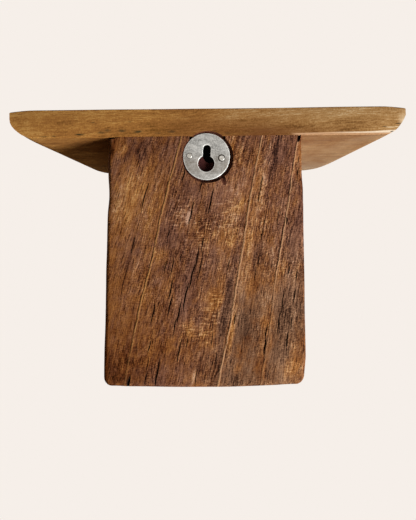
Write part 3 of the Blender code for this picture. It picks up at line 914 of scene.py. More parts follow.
# %% Cut the cracks
def split_blade(upper, lower, width, depth):
    """A long cone between two places on the back, with its base just outside and its point in the wood."""
    grow = (depth + BLADE_SPARE) / depth
    x, z = (upper[0] + lower[0]) / 2, (upper[1] + lower[1]) / 2
    half_width, half_length = CRACK_WIDEN * width * MM / 2, math.dist(upper, lower) * MM / 2
    lean = math.atan2(upper[0] - lower[0], upper[1] - lower[1])
    blade = start_from(
        bpy.ops.mesh.primitive_cone_add, "crack", (x * MM, (BLADE_SPARE - depth) / 2, z * MM),
        (half_width * grow, half_length * grow, depth + BLADE_SPARE), (math.radians(90), lean, 0),
        vertices=CRACK_CORNERS, radius1=1, radius2=0, depth=1,
    )
    for vert in blade.data.vertices:
        vert.co.x += CRACK_WANDER * noise.noise(vert.co / CRACK_WAVE)
    return blade


def crack_blade(across, start, end, width):
    """A blade along the grain, which runs out a little past both ends."""
    run_out = CRACK_RUN_OUT * (end - start)
    return split_blade(on_back(across, start - run_out), on_back(across, end + run_out), width, CRACK_DEPTH)


cut(block, join([crack_blade(*crack) for crack in CRACKS]), crack_dust_and_shade, "MANIFOLD")
cut(block, join([split_blade(*chip, CRACK_DEPTH) for chip in CHIPS]), crack_dust_and_shade, "MANIFOLD")
cut(block, split_blade(*RECESS_CHIP, RECESS_CHIP_DEPTH), bored_wood, "MANIFOLD")
print(len(block.data.polygons), "faces after cracking")

# %% [markdown]
# ## Tone, saw marks and gold
#
# The picture shows where the beam is darker, lighter, marked by the saw or more golden. Those places are
# painted on the mesh as three values, each the sum of soft patches along the grain: grain value, millimetres
# down, half width, half length and strength. The left and right arris get a share of their own, which is
# painted shade: warm and golden on the left, darker on the right. The fibres in the material then break the
# patches up.

# %% Patches on the block
TONES = [
    (-40, 8, 9, 7, -0.2), (-24, 6, 5, 8, -0.12), (-8.5, 48, 4.5, 20, -0.02), (-2, 72, 5, 14, -0.12),
    (8, 85, 5, 16, -0.05), (32.6, 110, 2.4, 22, -0.2), (46, 14, 2.2, 16, -0.22), (66, 112, 5, 20, -0.06),
    (27, 146, 6, 8, -0.1), (-29.5, 90, 1.5, 10, -0.16), (46, 122, 6, 12, -0.08), (3, 120, 5, 15, -0.08),
    (-33, 150, 6, 8, -0.12), (-41, 34, 8, 16, 0.22), (-25, 45, 6, 22, 0.08), (-12, 75, 4, 4, 0.16),
    (28, 44, 5, 26, 0.12), (40, 42, 3.5, 34, 0.2), (72.5, 147, 5, 8, 0.11),
    (55.5, 122, 3, 9, 0.04), (14, 122, 6, 5, 0.12), (61, 17, 3, 14, 0.22), (-32, 110, 6, 20, 0.04),
    (20.5, 101, 1.2, 4, 0.2), (0.1, 51, 1.0, 3.5, 1.1), (20.9, 152, 0.9, 5, 0.6), (47.2, 53, 0.8, 4, 0.3),
    (37.5, 95, 4, 22, 0.08), (62, 80, 6, 22, 0.13), (-14, 148, 15, 12, -0.13), (10, 56, 5, 10, -0.12),
    (40.5, 29, 2, 8, 0.1), (20.7, 92, 4, 6, 0.06), (42.8, 97, 4, 8, 0.1), (63.5, 142, 4, 6, 0.08),
    (-36, 50, 8, 18, 0.06), (49, 152, 5, 6, -0.08), (31.6, 142, 4, 8, -0.06), (70, 123, 4, 8, -0.06),
    (-30, 145, 22, 34, -0.095), (62, 133, 14, 14, -0.04), (45.8, 128, 3, 8, -0.05), (28, 128, 3, 8, -0.05),
    (-44, 50, 6, 22, 0.08), (-30, 46, 6, 20, 0.03), (18.6, 50, 4, 16, 0.03), (31, 50, 3, 20, 0.05),
    (55, 40, 5, 18, 0.03), (37.8, 120, 1.6, 14, 0.1), (-50, 8, 2.2, 3, 0.35),
    (-57.5, 16, 1.2, 16, -0.3), (-38.5, 36, 2.5, 6, -0.15), (31, 7, 2.5, 7, -0.15), (41.7, 29, 2, 7, 0.15),
    (23, 24, 2, 6, 0.12), (16.5, 55, 2.5, 8, -0.13),
]
GOLD = [
    (-8.5, 48, 5, 20, -0.25), (-40, 8, 10, 8, -0.3), (-24, 10, 7, 10, -0.2), (-36, 62, 8, 18, -0.15),
    (46, 14, 4, 16, -0.3), (68, 70, 6, 25, -0.3), (67, 109, 5, 14, -0.35), (65, 137, 5, 9, -0.3),
    (43, 120, 4, 9, -0.4), (32.6, 110, 2.4, 22, -0.5), (-12, 75, 4, 4, 0.25), (40, 45, 4, 30, 0.15),
    (25, 104, 6.5, 10, 0.4), (25, 128, 7, 11, 0.12), (37.6, 123, 1.8, 17, 0.6), (45, 97, 4, 8, 0.25),
    (55.5, 118, 3.5, 9, 0.25), (56, 144, 3, 6, 0.25), (72.5, 145, 5, 9, 0.35), (14, 123, 6, 6, 0.2),
    (28, 44, 5, 24, 0.2), (61, 15, 3, 12, 0.3), (8, 90, 6, 20, -0.15), (-20, 130, 12, 25, 0.2),
    (-5, 135, 14, 15, 0.2), (-5, 99, 5, 8, 0.25), (-36, 110, 8, 25, 0.2), (-33, 145, 10, 14, 0.2),
    (-36, 36, 8, 10, 0.2), (-22, 40, 6, 14, 0.2), (60, 125, 18, 28, -0.1), (-50, 8, 3, 4, 0.3),
    (-57.5, 16, 1.5, 16, 0.6), (-36, 46, 4, 12, 0.25), (4.5, 132, 3, 9, 0.35), (0.1, 51, 1.4, 4, -0.8),
]
SAW_MARKS = [
    (25, 104, 6, 9, 0.6), (25, 128, 7, 10, 0.6), (72.5, 145, 5, 8, 0.9),
    (15, 60, 16, 18, 1.0), (-7, 48, 6, 12, 0.85), (13, 122, 6, 5, 1.0), (26, 112, 8, 16, 0.7),
    (-20, 100, 8, 20, 0.25), (24, 40, 7, 14, 0.6), (-40, 40, 10, 20, 0.2),
]
# What the left and right arris get: painted warm shade on the left, painted shade on the right
ARRIS_SHADE_PAINT = {"tone": (-0.02, -0.1), "gold": (1.2, 0.0)}
LEFT_ARRIS = (59.8, 61.3)
RIGHT_ARRIS = (58, 61)
EDGE_LEAN = 0.0145
PAINT_DEPTH = 12

print("patches:", len(TONES), "tones,", len(SAW_MARKS), "saw marks,", len(GOLD), "gold")


# %% Paint the block
def paint(piece, name, patches):
    """Writes a value of that name near the back: the painted shade of the left and right arris, and the
    patches.
    """
    x, y, z = places_of(piece).T
    across, down = across_grain(x, z)
    left, right = ARRIS_SHADE_PAINT.get(name, (0, 0))
    from_middle = x - BLOCK_OFFSET_X / MM - EDGE_LEAN * down
    total = left * rising(from_middle, *LEFT_ARRIS) + right * rising(-from_middle, *RIGHT_ARRIS)
    for middle, level, half_width, half_length, strength in patches:
        total += strength * hump(across, middle, half_width) * hump(down, level, half_length)
    total *= hump(y, 0, PAINT_DEPTH)
    piece.data.attributes.new(name, "FLOAT", "POINT").data.foreach_set("value", total.astype(np.float32))


def finish_shading(piece):
    """Shades the piece smooth up to its real edges."""
    bpy.ops.object.select_all(action="DESELECT")
    piece.select_set(True)
    bpy.context.view_layer.objects.active = piece
    bpy.ops.object.shade_smooth_by_angle(angle=SHARP)


for name, patches in zip(PAINTED, (TONES, SAW_MARKS, GOLD)):
    paint(block, name, patches)
finish_shading(block)
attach(block, "root")
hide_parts("bracket_block")
print("block slots:", [slot.name for slot in block.material_slots])

# %% [markdown]
# ## Golden wood for the board
#
# The board is a younger, lighter hardwood with the same wax on it. Its grain runs along the shelf, so its
# rings are long tubes about a pith below the board, and the rounded ends cut them into the curved lines of
# end grain. Two ramps colour it, a golden brown and a paler olive one towards the right, and its shade is
# painted lighter towards the left, as painted light. Use then laid coats over it, each a mask worked out from
# the place on the board and a colour: dark spots along the lower edge of the back where damp got in, brown
# stains, the bare underside, kept weak on the left as painted shade where the block's shadow falls, a painted
# shadow in the corner left of the block, pale cut fibres at the right end, and the lower arris on the right,
# which is rubbed pale and painted brighter as a highlight.

# %% Grain and flecks of the board
# The pith's place across the grain, how far it moves along each millimetre of board, and how far it wanders
BOARD_PITH_Y = (-38, 0.05, 8.0)
BOARD_PITH_Z = (-62, 0.025, 4.0)
# Each fleck: place along and up, half length, half height and strength
DAMP_FLECKS = [
    (102.9, 8.6, 2.8, 0.5, 0.7), (97, 8.8, 1.6, 0.7, 0.7), (80.5, 9.7, 3.2, 0.7, 1.0),
    (66.8, 10.7, 2.8, 1.0, 0.7), (62.7, 12.0, 2.6, 1.0, 0.7), (53.7, 11.9, 2.8, 1.0, 1.0),
    (43.4, 11.2, 3.6, 1.1, 0.9), (31, 10.2, 2.4, 0.9, 0.4), (22, 11, 2.7, 1.0, 0.9),
    (72, 17.2, 1.5, 0.5, 0.8), (48.8, 17.5, 1.5, 0.5, 0.5), (-4.9, 11.4, 1.8, 0.6, 0.6),
    (-13, 9.7, 2.2, 0.7, 0.8),
]
PALE_NICKS = [(-115.8, 12.3, 3.2, 0.35, 0.9), (-119.9, 12.7, 1.6, 0.35, 0.8)]


def board_grain(tree):
    """The grain for the nodes: a vector of ring value, depth and millimetres along, and the plain place."""
    scaled = millimetres(tree)
    x, y, z = add_node(tree, "ShaderNodeSeparateXYZ", {0: scaled})
    turned = add_node(tree, "ShaderNodeCombineXYZ", {0: z, 1: y, 2: x})[0]
    drift = fibres(tree, turned, 14, 22, 70, 1.0)
    away = {}
    for axis, (value, (pith, lean, wander)) in enumerate(((y, BOARD_PITH_Y), (z, BOARD_PITH_Z))):
        away[axis] = weighted(tree, -pith - wander / 2, [(value, 1.0), (x, lean), (drift, wander)])
    spoke = add_node(tree, "ShaderNodeCombineXYZ", away)[0]
    ring = add_node(tree, "ShaderNodeVectorMath", {0: spoke}, operation="LENGTH")["Value"]
    return add_node(tree, "ShaderNodeCombineXYZ", {0: ring, 1: y, 2: x})[0], (x, y, z)


def fleck_mask(tree, along, up, flecks):
    """A mask on flecks of the back, each a soft ellipse."""
    mask = 0.0
    for x, z, half_length, half_height, strength in flecks:
        across = weighted(tree, -x / half_length, [(along, 1 / half_length)])
        above = weighted(tree, -z / half_height, [(up, 1 / half_height)])
        spot = add_node(tree, "ShaderNodeCombineXYZ", {0: across, 1: above})[0]
        away = add_node(tree, "ShaderNodeVectorMath", {0: spot}, operation="LENGTH")["Value"]
        fleck = within(tree, (away, 0.2, 1.3, strength, 0.0))
        mask = add_node(tree, "ShaderNodeMath", {0: fleck, 1: mask}, operation="MAXIMUM")[0]
    return mask


print(len(DAMP_FLECKS), "damp flecks,", len(PALE_NICKS), "pale nicks")

# %% Shade of the board
BOARD_BOTTOM = board_low.z / MM
BOARD_TOP = board_high.z / MM
# Each layer: width, depth, length and detail, as for the timber
BOARD_LAYERS = {
    "rings": (3.0, 14, 80, 3.0), "streaks": (1.2, 6, 16, 3.0), "fine": (0.75, 2, 4, 2.0),
    "grit": (0.75, 0.8, 1.0, 2.0), "blotches": (9, 7, 26, 3.0), "frays": (1.0, 2, 3, 3.0),
    "mottle": (16, 45, 22, 3.0),
}
BOARD_SHADE = {"rings": 0.7, "streaks": 0.8, "fine": 0.95, "grit": 0.95, "blotches": 0.8}
BOARD_RELIEF = {"rings": 0.4, "streaks": 0.6, "fine": 0.6, "grit": 0.3}


def board_shade(tree, layers, x, y, z):
    """How light the wood is: its layers, painted light towards the left, and on the back lighter at the top and
    darker at the bottom.
    """
    # Painted light: the wood is made lighter towards the left end, mostly on the back
    painted_light_left = weighted(tree, within(tree, (x, -10, 115, 0.0, 0.24)), [(within(tree, (x, 98, 122)), 0.12)])
    painted_light_left = product(tree, [painted_light_left, within(tree, (y, -12, -4, 0.2, 1.0))])
    # On the back, lighter towards the top and darker towards the bottom, most of all right of the plate
    fade = weighted(tree, 0.06, [
        (within(tree, (x, 60, 90, 1.0, 0.0)), 0.09),
        (within(tree, (x, -30, -5, 1.0, 0.0)), 0.1),
        (within(tree, (x, -90, -60, 1.0, 0.0)), -0.12),
    ])
    height_shift = product(tree, [fade, within(tree, (z, BOARD_BOTTOM + 3, BOARD_TOP - 3, -0.75, 1.0), (y, -8, -3))])
    return weighted(tree, around(tree, 0.5, layers, BOARD_SHADE), [(painted_light_left, 1.0), (height_shift, 1.0)])


print("board from", round(BOARD_BOTTOM, 2), "to", round(BOARD_TOP, 2), "mm")

# %% Stains of the board
DAMP = "#403b26"
STAIN = "#6e3f22"
# Painted shadow for the underside in the corner left of the block
CORNER_SHADOW = "#5c3010"
CUT_FIBRES = "#e6cba4"
DRY_DARK = "#9a7054"
DRY_LIGHT = "#b89574"
DRY_FRONT = "#d3b596"


def board_stains(tree, layers, x, y, z):
    """Coats for damp, stains, the bare underside with painted shade on its left, a painted shadow left of the
    block and cut fibres.
    """
    frayed = within(tree, (layers["frays"], 0.25, 0.6, 0.3, 1.0), (y, -3, -1))
    damp = product(tree, [fleck_mask(tree, x, z, DAMP_FLECKS), frayed])
    over_block = within(
        tree, (x, -70, -30), (x, 12, 40, 1.0, 0.0), (z, BOARD_BOTTOM + 2, BOARD_TOP, 1.0, 0.25),
        (y, -8, -2), (layers["streaks"], 0.3, 0.6, 0.4, 1.0),
    )
    low_right = within(
        tree, (x, -108, -50), (x, -40, -10, 1.0, 0.0),
        (z, BOARD_BOTTOM + 2, BOARD_BOTTOM + 7.5, 0.4, 0.0), (y, -3, -1),
    )
    stain = weighted(tree, 0.0, [(over_block, 0.5), (low_right, 1.0)])
    # The bare underside, paler, but kept weak on the left where the block's shadow falls, so that part stays
    # darker: painted shade
    bare_and_shade = within(
        tree, (z, BOARD_BOTTOM + 0.1, BOARD_BOTTOM + 2.5, 1.0, 0.0), (x, -70, -30, 1.0, 0.15),
        (y, -3.0, -1.5, 1.0, 0.0), (y, -125, -50, 0.95, 0.55), (layers["streaks"], 0.3, 0.65, 1.1, 0.85),
    )
    to_front = within(tree, (y, -135, -75, 0.9, 0.0))
    mottled = within(tree, (layers["mottle"], 0.36, 0.64))
    dry = lay(tree, linear(DRY_DARK), [(mottled, DRY_LIGHT), (to_front, DRY_FRONT)])
    # Painted shadow: the underside next to the block's left side is darkened red-brown, where the block's
    # shadow falls
    corner_shadow = within(
        tree, (x, 58, 61), (x, 64, 100, 0.6, 0.0), (z, BOARD_BOTTOM + 0.1, BOARD_BOTTOM + 2, 1.0, 0.0),
        (y, -4.0, -1.5, 1.0, 0.0),
    )
    end_grain = within(
        tree, (x, -124.5, -119.5, 0.7, 0.0), (layers["rings"], 0.35, 0.6, 0.4, 1.2),
        (z, BOARD_BOTTOM + 9, BOARD_BOTTOM + 14, 1.0, 0.1),
    )
    nicks = product(tree, [fleck_mask(tree, x, z, PALE_NICKS), within(tree, (y, -5, -3))])
    pale = add_node(tree, "ShaderNodeMath", {0: end_grain, 1: nicks}, operation="MAXIMUM")[0]
    return [(damp, DAMP), (stain, STAIN), (bare_and_shade, dry), (corner_shadow, CORNER_SHADOW), (pale, CUT_FIBRES)]


print("stains:", DAMP, STAIN, CORNER_SHADOW)

# %% Golden wood
BOARD_BROWN = [(0.0, "#6b431c"), (0.28, "#90602c"), (0.5, "#a87039"), (0.75, "#bd8342"), (1.0, "#d49e58")]
BOARD_OLIVE = [(0.0, "#6d4a26"), (0.28, "#91673a"), (0.5, "#a67b4a"), (0.75, "#b78e5d"), (1.0, "#d0af82")]
WORN_LIP = "#c99c75"
# The rubbed line: pale worn wood, painted brighter as a highlight
RUBBED_HIGHLIGHT = "#deb18a"
RUBBED_HIGHLIGHT_END = "#f0d8ba"


def rubbed_arris_and_highlight(tree, layers, x, y, z):
    """Coats for the lower arris right of the block: its worn lip and above that a pale rubbed line, painted
    brighter as a highlight.
    """
    rise = within(tree, (x, -90, -56, 0.9, 0.4))
    rise = weighted(tree, rise, [(within(tree, (x, -120, -100, 0.4, 0.0)), 1.0)])
    above = weighted(tree, -BOARD_BOTTOM - 0.75, [(z, 1.0), (rise, -1.0), (layers["streaks"], 0.5)])
    beside_block = within(tree, (x, -58, -52, 1.0, 0.0), (y, -1.7, -0.9))
    lip = product(tree, [beside_block, within(tree, (above, -0.4, -0.1, 0.75, 0.0))])
    from_line = add_node(tree, "ShaderNodeMath", {0: above}, operation="ABSOLUTE")[0]
    from_line = weighted(tree, from_line, [(within(tree, (x, -122, -95, 0.5, 0.0)), -1.0)])
    line = within(tree, (from_line, 0.15, 0.55, 1.0, 0.0), (x, -100, -75, 1.0, 0.8))
    bright = lay(tree, linear(RUBBED_HIGHLIGHT), [(within(tree, (x, -100, -75, 1.0, 0.0)), RUBBED_HIGHLIGHT_END)])
    return [(lip, WORN_LIP), (product(tree, [beside_block, line]), bright)]


def golden_wood():
    """Waxed golden hardwood with the coats that use laid over it."""
    material, tree, shader = new_material("waxed_golden_hardwood")
    grain, place = board_grain(tree)
    layers = {name: fibres(tree, grain, *size) for name, size in BOARD_LAYERS.items()}
    shade = board_shade(tree, layers, *place)
    ramps = [add_node(tree, "ShaderNodeValToRGB", {0: shade}, ramp)[0] for ramp in (BOARD_BROWN, BOARD_OLIVE)]
    to_right = weighted(tree, -30.0, [(place[0], -1.0), (layers["blotches"], 60.0)])
    wood = lay(tree, ramps[0], [
        (within(tree, (to_right, -40, 90)), ramps[1]),
        *board_stains(tree, layers, *place),
        *rubbed_arris_and_highlight(tree, layers, *place),
    ])
    height = around(tree, 0.0, layers, BOARD_RELIEF)
    roughness = weighted(tree, 0.66, [(shade, -0.14)])
    gloss = {"Specular IOR Level": 0.0}
    set_finish(tree, shader, wood, roughness, height, strength=0.7, depth=0.3, others=gloss)
    return material


golden = golden_wood()
print(golden.name, len(golden.node_tree.nodes), "nodes")

# %% [markdown]
# ## The board
#
# Seen from above the board is a trapezium: full width at the wall, narrower in front, with round front
# corners. Its lower edge is rounded over on three sides, and the one at the wall is only eased. A cube,
# tapered and bevelled edge by edge, gives all of this. Cross cuts every few millimetres then give the long
# faces enough vertices for a little unevenness and for the ends, whose upper corners are worn down.

# %% Shape the board
FRONT_WIDTH = 200 * MM
FRONT_LEFT_CORNER = 26.5 * MM
FRONT_RIGHT_CORNER = 29 * MM
UNDERSIDE_ROUND = 12.5 * MM
TOP_EASE = 0.7 * MM
WALL_EASE = 1.2 * MM
CROSS_CUT = 4 * MM
CORNER_STEPS = 14
UNDERSIDE_STEPS = 8
EASE_STEPS = 3

board_size = board_high - board_low
board = start_from(
    bpy.ops.mesh.primitive_cube_add, "golden_board", (board_low + board_high) / 2, board_size, size=1,
)
board.data.materials.append(golden)
bpy.ops.object.mode_set(mode="EDIT")
pick(board, "VERT", lambda vert: vert.co.y < board_low.y / 2)
bpy.ops.transform.resize(value=(FRONT_WIDTH / board_size.x, 1, 1), center_override=(0, 0, 0))
for side, corner in ((1, FRONT_LEFT_CORNER), (-1, FRONT_RIGHT_CORNER)):
    bevel(board, all_at(0, side * FRONT_WIDTH / 2), corner, CORNER_STEPS)
under, at_wall = all_at(2, board_low.z), all_at(1, 0)
bevel(board, lambda edge: under(edge) and not at_wall(edge), UNDERSIDE_ROUND, UNDERSIDE_STEPS)
bevel(board, all_at(2, board_high.z), TOP_EASE, EASE_STEPS)
bevel(board, lambda edge: under(edge) and at_wall(edge), WALL_EASE, EASE_STEPS)
for axis, normal in ((0, (1, 0, 0)), (1, (0, 1, 0))):
    cuts = int(board_size[axis] / CROSS_CUT)
    for step in range(1, cuts):
        middle = [0, 0, 0]
        middle[axis] = board_low[axis] + board_size[axis] * step / cuts
        bpy.ops.mesh.select_all(action="SELECT")
        bpy.ops.mesh.bisect(plane_co=middle, plane_no=normal)
bpy.ops.object.mode_set(mode="OBJECT")
print("board has", len(board.data.polygons), "faces")

# %% Wear the board
END_EASE = 1.2
END_LENGTH = 14
END_CURVE = 1.6
RIGHT_BULGE = 0.9
LEFT_CORNER_LOSS = 1.6
RIGHT_CORNER_LOSS = 1.0
FRONT_RIGHT_LIFT = 1.2
TOP_RISE = 0.25
BOARD_WAVE = 0.1
BOARD_WAVE_SIZE = (40, 18, 18)

# As on the block, the places are read off the picture, here in millimetres along an axis
places = places_of(board)
x, y, z = places.T
half_width = board_size.x / MM / 2
end = rising(np.abs(x), half_width - END_LENGTH, half_width) ** END_CURVE
upper = rising(z, BOARD_BOTTOM, BOARD_TOP) ** 2
wave = BOARD_WAVE * rising(z, BOARD_BOTTOM, BOARD_BOTTOM + 3) * soft_noise(places, BOARD_WAVE_SIZE, seed=5.3)
places -= normals_of(board) * wave[:, None]
z -= END_EASE * end * upper
right_end = end * (x < 0)
x -= RIGHT_BULGE * right_end * hump(z, 21.5, 3)
x += RIGHT_BULGE * right_end * hump(z, 25.5, 1.2)
z += TOP_RISE * upper * (hump(x, -95, 35) + 0.5 * hump(x, 62, 28))
corner = rising(np.abs(x), 95, 115) * hump(y, 0, 10)
lower = np.where(x < 0, hump(z, 13, 5), hump(z, 10, 4.5))
x -= np.where(x < 0, -RIGHT_CORNER_LOSS, LEFT_CORNER_LOSS) * corner * lower
z += FRONT_RIGHT_LIFT * rising(y, -100, -130) * rising(x, -20, -60) * rising(z, BOARD_TOP, BOARD_TOP - 12)
set_places(board, places)
print("board worn to", places.min(0).round(2), places.max(0).round(2), "mm")

# %% Bore the board
PLUG_BORE = 5.3 * MM
PLUG_BORE_DEPTH = 5.9 * MM
PLUG_CORNERS = 48
# Each check at the right end, like a chip: two places on the back and a width
END_CHECKS = [
    ((-122.4, 14.7), (-119.0, 14.6), 0.45),
    ((-113.6, 12.95), (-110.4, 12.8), 0.35),
    ((-117.6, 9.9), (-115.4, 9.4), 0.5),
]

cut(board, recess(), bored_wood)
bores = []
for name in screw_nodes:
    top = over_screw(name, board_high.z)
    cut(board, bore("plug_bore", PLUG_BORE, PLUG_BORE_DEPTH, top, STANDING, PLUG_CORNERS), bored_wood)
    bores.append(bore("screw_bore", SCREW_BORE, board_size.z + CUT_PAST, top, STANDING, HOLE_CORNERS))
cut(board, join(bores), bored_wood)
cut(board, join([split_blade(*check, CRACK_DEPTH) for check in END_CHECKS]), crack_dust_and_shade)
finish_shading(board)
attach(board, "root")
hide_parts("shelf_board")
print("board has", len(board.data.polygons), "faces after boring")

# %% [markdown]
# ## Zinc for the plate, the pins and the screws
#
# The plate is stamped from steel sheet and zinc coated. Old zinc is dull: grey, mottled by small crystals and
# stains, with fine scratches. It is a metal, so its colour sits in the reflection and its roughness varies
# with the stains. The plate turns browner towards the bottom, its rims are painted paler as a highlight, and
# the seats of its pins are painted dark as shade. Pins and screws get the same finish with their own colours.

# %% Dull zinc
# The plate turns browner towards the bottom
LOWER_BROWN = "#75695b"
LOWER_BROWN_LEVEL = -5.5
LOWER_BROWN_FADE = 6
ZINC_SHADE = {"crystals": 1.1, "stains": 0.9, "scratches": 0.6}
ZINC_RELIEF = {"crystals": 0.6, "scratches": 0.4}


def dull_zinc(name, dark, light, crystal, roughness=0.56, brown_level=None):
    """Zinc with crystals of this size in millimetres, coarse enough to show, browner below a level."""
    material, tree, shader = new_material(name)
    place = millimetres(tree)
    layers = {
        "crystals": fibres(tree, place, crystal, crystal, crystal, 3.0),
        "stains": fibres(tree, place, 6 * crystal, 6 * crystal, 4 * crystal, 2.0),
        "scratches": fibres(tree, place, 8 * crystal, 8 * crystal, 0.5 * crystal, 1.0),
    }
    shade = around(tree, 0.5, layers, ZINC_SHADE)
    colour = add_node(tree, "ShaderNodeValToRGB", {0: shade}, [(0.2, dark), (0.8, light)])[0]
    if brown_level is not None:
        z = add_node(tree, "ShaderNodeSeparateXYZ", {0: place})[2]
        browner_below = within(
            tree,
            (z, brown_level - LOWER_BROWN_FADE, brown_level + LOWER_BROWN_FADE, 1.0, 0.0),
            (z, brown_level - 2 * LOWER_BROWN_FADE, brown_level - LOWER_BROWN_FADE, 0.3, 1.0),
            (layers["stains"], 0.3, 0.65, 0.62, 0.38),
        )
        colour = lay(tree, colour, [(browner_below, LOWER_BROWN)])
    height = around(tree, 0.0, layers, ZINC_RELIEF)
    roughness = weighted(tree, roughness, [(shade, -0.18)])
    set_finish(tree, shader, colour, roughness, height, strength=0.35, depth=0.08, others={"Metallic": 1.0})
    return material


plate_zinc = dull_zinc("dull_zinc_plate", "#7c7d7b", "#c8c9c6", 0.8, brown_level=LOWER_BROWN_LEVEL)
# Painted highlight: the eased rims get a paler zinc
rim_highlight_zinc = dull_zinc("zinc_rim_painted_highlight", "#b8b8b4", "#dcdcd8", 0.8, 0.8)
# Painted shade: the pins' seats get a dark zinc, for the ring of shade round each head
seat_shade_zinc = dull_zinc("zinc_seat_painted_shade", "#46413b", "#7b746b", 0.7, 0.7)
pin_zinc = dull_zinc("bright_zinc_pin", "#98968f", "#dcdad4", 0.7)
screw_zinc = dull_zinc("yellow_zinc_screw", "#8f7440", "#cfb878", 0.7)
print(plate_zinc.name, pin_zinc.name, screw_zinc.name)

# %% [markdown]
# ## The keyhole plate
#
# The plate is a disc with a keyhole: a round entry for the screw's head and a slot above it for the shank. A
# disc cut by a keyhole would leave a face with a hole in it, which bevels badly. Two circles with as many
# points each do better: the inner one is pushed into the keyhole's outline, the two are bridged into a ring
# of quads, and the ring is extruded. Both rims are then eased, because their bright edges are what the eye
# catches, and two shallow seats are sunk for the heads of the pins.

# %% The keyhole's outline
ENTRY_RADIUS = 5.2 * MM
SLOT_HALF = 2.45 * MM
KEYHOLE_MIDDLE = -2 * MM
ALMOST_STRAIGHT = 1e-6


def keyhole_reach(angle):
    """How far the keyhole's edge is from a point between its entry and its slot, in that direction."""
    across, up = math.sin(angle), math.cos(angle)
    corner = math.sqrt(ENTRY_RADIUS**2 - SLOT_HALF**2) - ENTRY_DROP
    to_slot = SLOT_HALF / max(abs(across), ALMOST_STRAIGHT)
    if up > 0 and KEYHOLE_MIDDLE + to_slot * up > corner:
        if KEYHOLE_MIDDLE + to_slot * up < HANG_RISE:
            return to_slot
        centre, radius = HANG_RISE - KEYHOLE_MIDDLE, SLOT_HALF
    else:
        centre, radius = -ENTRY_DROP - KEYHOLE_MIDDLE, ENTRY_RADIUS
    return centre * up + math.sqrt(radius**2 - (centre * across) ** 2)


print("keyhole", round((keyhole_reach(0) + keyhole_reach(math.pi)) / MM, 2), "mm tall")

# %% Shape the plate
PLATE_POINTS = 128
PLATE_SINK = 0.2 * MM
PLATE_THICKNESS = 2 * MM
INNER_START = 1 * MM
RIM_EASE = 0.45 * MM
RIM_STEPS = 3
RIM_NORMAL = (0.2, 0.98)

plate = start_from(
    bpy.ops.mesh.primitive_circle_add, "zinc_plate", vertices=PLATE_POINTS, radius=PLATE_DIAMETER / 2,
)
plate.data.materials.append(plate_zinc)
plate.data.materials.append(rim_highlight_zinc)
bpy.ops.object.mode_set(mode="EDIT")
bpy.ops.mesh.select_all(action="DESELECT")
bpy.ops.mesh.primitive_circle_add(vertices=PLATE_POINTS, radius=INNER_START)
mesh = bmesh.from_edit_mesh(plate.data)
for vert in mesh.verts:
    if vert.select:
        angle = math.atan2(vert.co.x, vert.co.y)
        reach = keyhole_reach(angle)
        vert.co.x = reach * math.sin(angle)
        vert.co.y = KEYHOLE_MIDDLE + reach * math.cos(angle)
bmesh.update_edit_mesh(plate.data)
bpy.ops.mesh.select_all(action="SELECT")
bpy.ops.mesh.bridge_edge_loops()
bpy.ops.mesh.select_all(action="SELECT")
bpy.ops.mesh.extrude_region_move(TRANSFORM_OT_translate={"value": (0, 0, PLATE_THICKNESS)})
bpy.ops.mesh.select_all(action="SELECT")
bpy.ops.mesh.normals_make_consistent(inside=False)
rims = all_at(2, PLATE_THICKNESS)
bevel(plate, lambda edge: edge.calc_face_angle(0) > SHARP and rims(edge), RIM_EASE, RIM_STEPS)
bpy.ops.object.mode_set(mode="OBJECT")
# The eased rims take the paler zinc, a painted highlight
for face in plate.data.polygons:
    face.material_index = int(RIM_NORMAL[0] < face.normal.z < RIM_NORMAL[1])
plate.location = (plate_middle.x, -PLATE_SINK - PLATE_THICKNESS, plate_middle.z)
plate.rotation_euler = (math.radians(-90), math.radians(180) - PLATE_TILT, 0)
plate = new_piece("zinc_plate")
print("plate has", len(plate.data.polygons), "faces")

# %% Sink the pins' seats and finish the plate
PIN_SEATS = {
    "left": (2.3 * MM, Vector((0.25 * MM, 0, 0.1 * MM))),
    "right": (1.9 * MM, Vector((0.05 * MM, 0, 0))),
}
PIN_SEAT_DEPTH = 1.15 * MM
PIN_CORNERS = 32

for hand, place in pin_places.items():
    seat_radius, seat_nudge = PIN_SEATS[hand]
    top = Vector((place.x, -PLATE_SINK, place.z))
    seat = bore("pin_seat", seat_radius, PIN_SEAT_DEPTH, top + seat_nudge, corners=PIN_CORNERS)
    # The seat takes the dark zinc, a painted shade
    cut(plate, seat, seat_shade_zinc)
    way = bore("pin_way", PIN_BORE, PLATE_THICKNESS + CUT_PAST, top, corners=HOLE_CORNERS)
    cut(plate, way, plate_zinc)
finish_shading(plate)
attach(plate, "root")
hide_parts("keyhole_plate")
print("plate box", places_of(plate).min(0).round(2), places_of(plate).max(0).round(2), "mm")

# %% [markdown]
# ## The pins
#
# Two round-head pins hold the plate. Each starts as a short cylinder for the head: its upper rim is bevelled
# into a dome, its lower face is inset and extruded into the shank, and the end of the shank is drawn to a
# point. One pin is modelled and copied, and each copy has its own mesh.

# %% Model one pin and copy it
PIN_HEAD_RADIUS = 1.8 * MM
PIN_HEAD_HEIGHT = 0.85 * MM
PIN_HEAD_EASE = 0.5 * MM
PIN_SHANK_RADIUS = 0.9 * MM
PIN_LENGTH = 16 * MM
PIN_POINT = 2.5 * MM
PIN_DOME_STEPS = 5
PIN_POINT_SHRINK = 0.08


def copy_piece(model, name, place, turn=STANDING):
    """A copy of a model with its own mesh, shaded and in its place."""
    copy = bpy.data.objects.new(name, model.data.copy())
    bpy.context.scene.collection.objects.link(copy)
    copy.location = place
    copy.rotation_euler = turn
    finish_shading(copy)
    return new_piece(name)


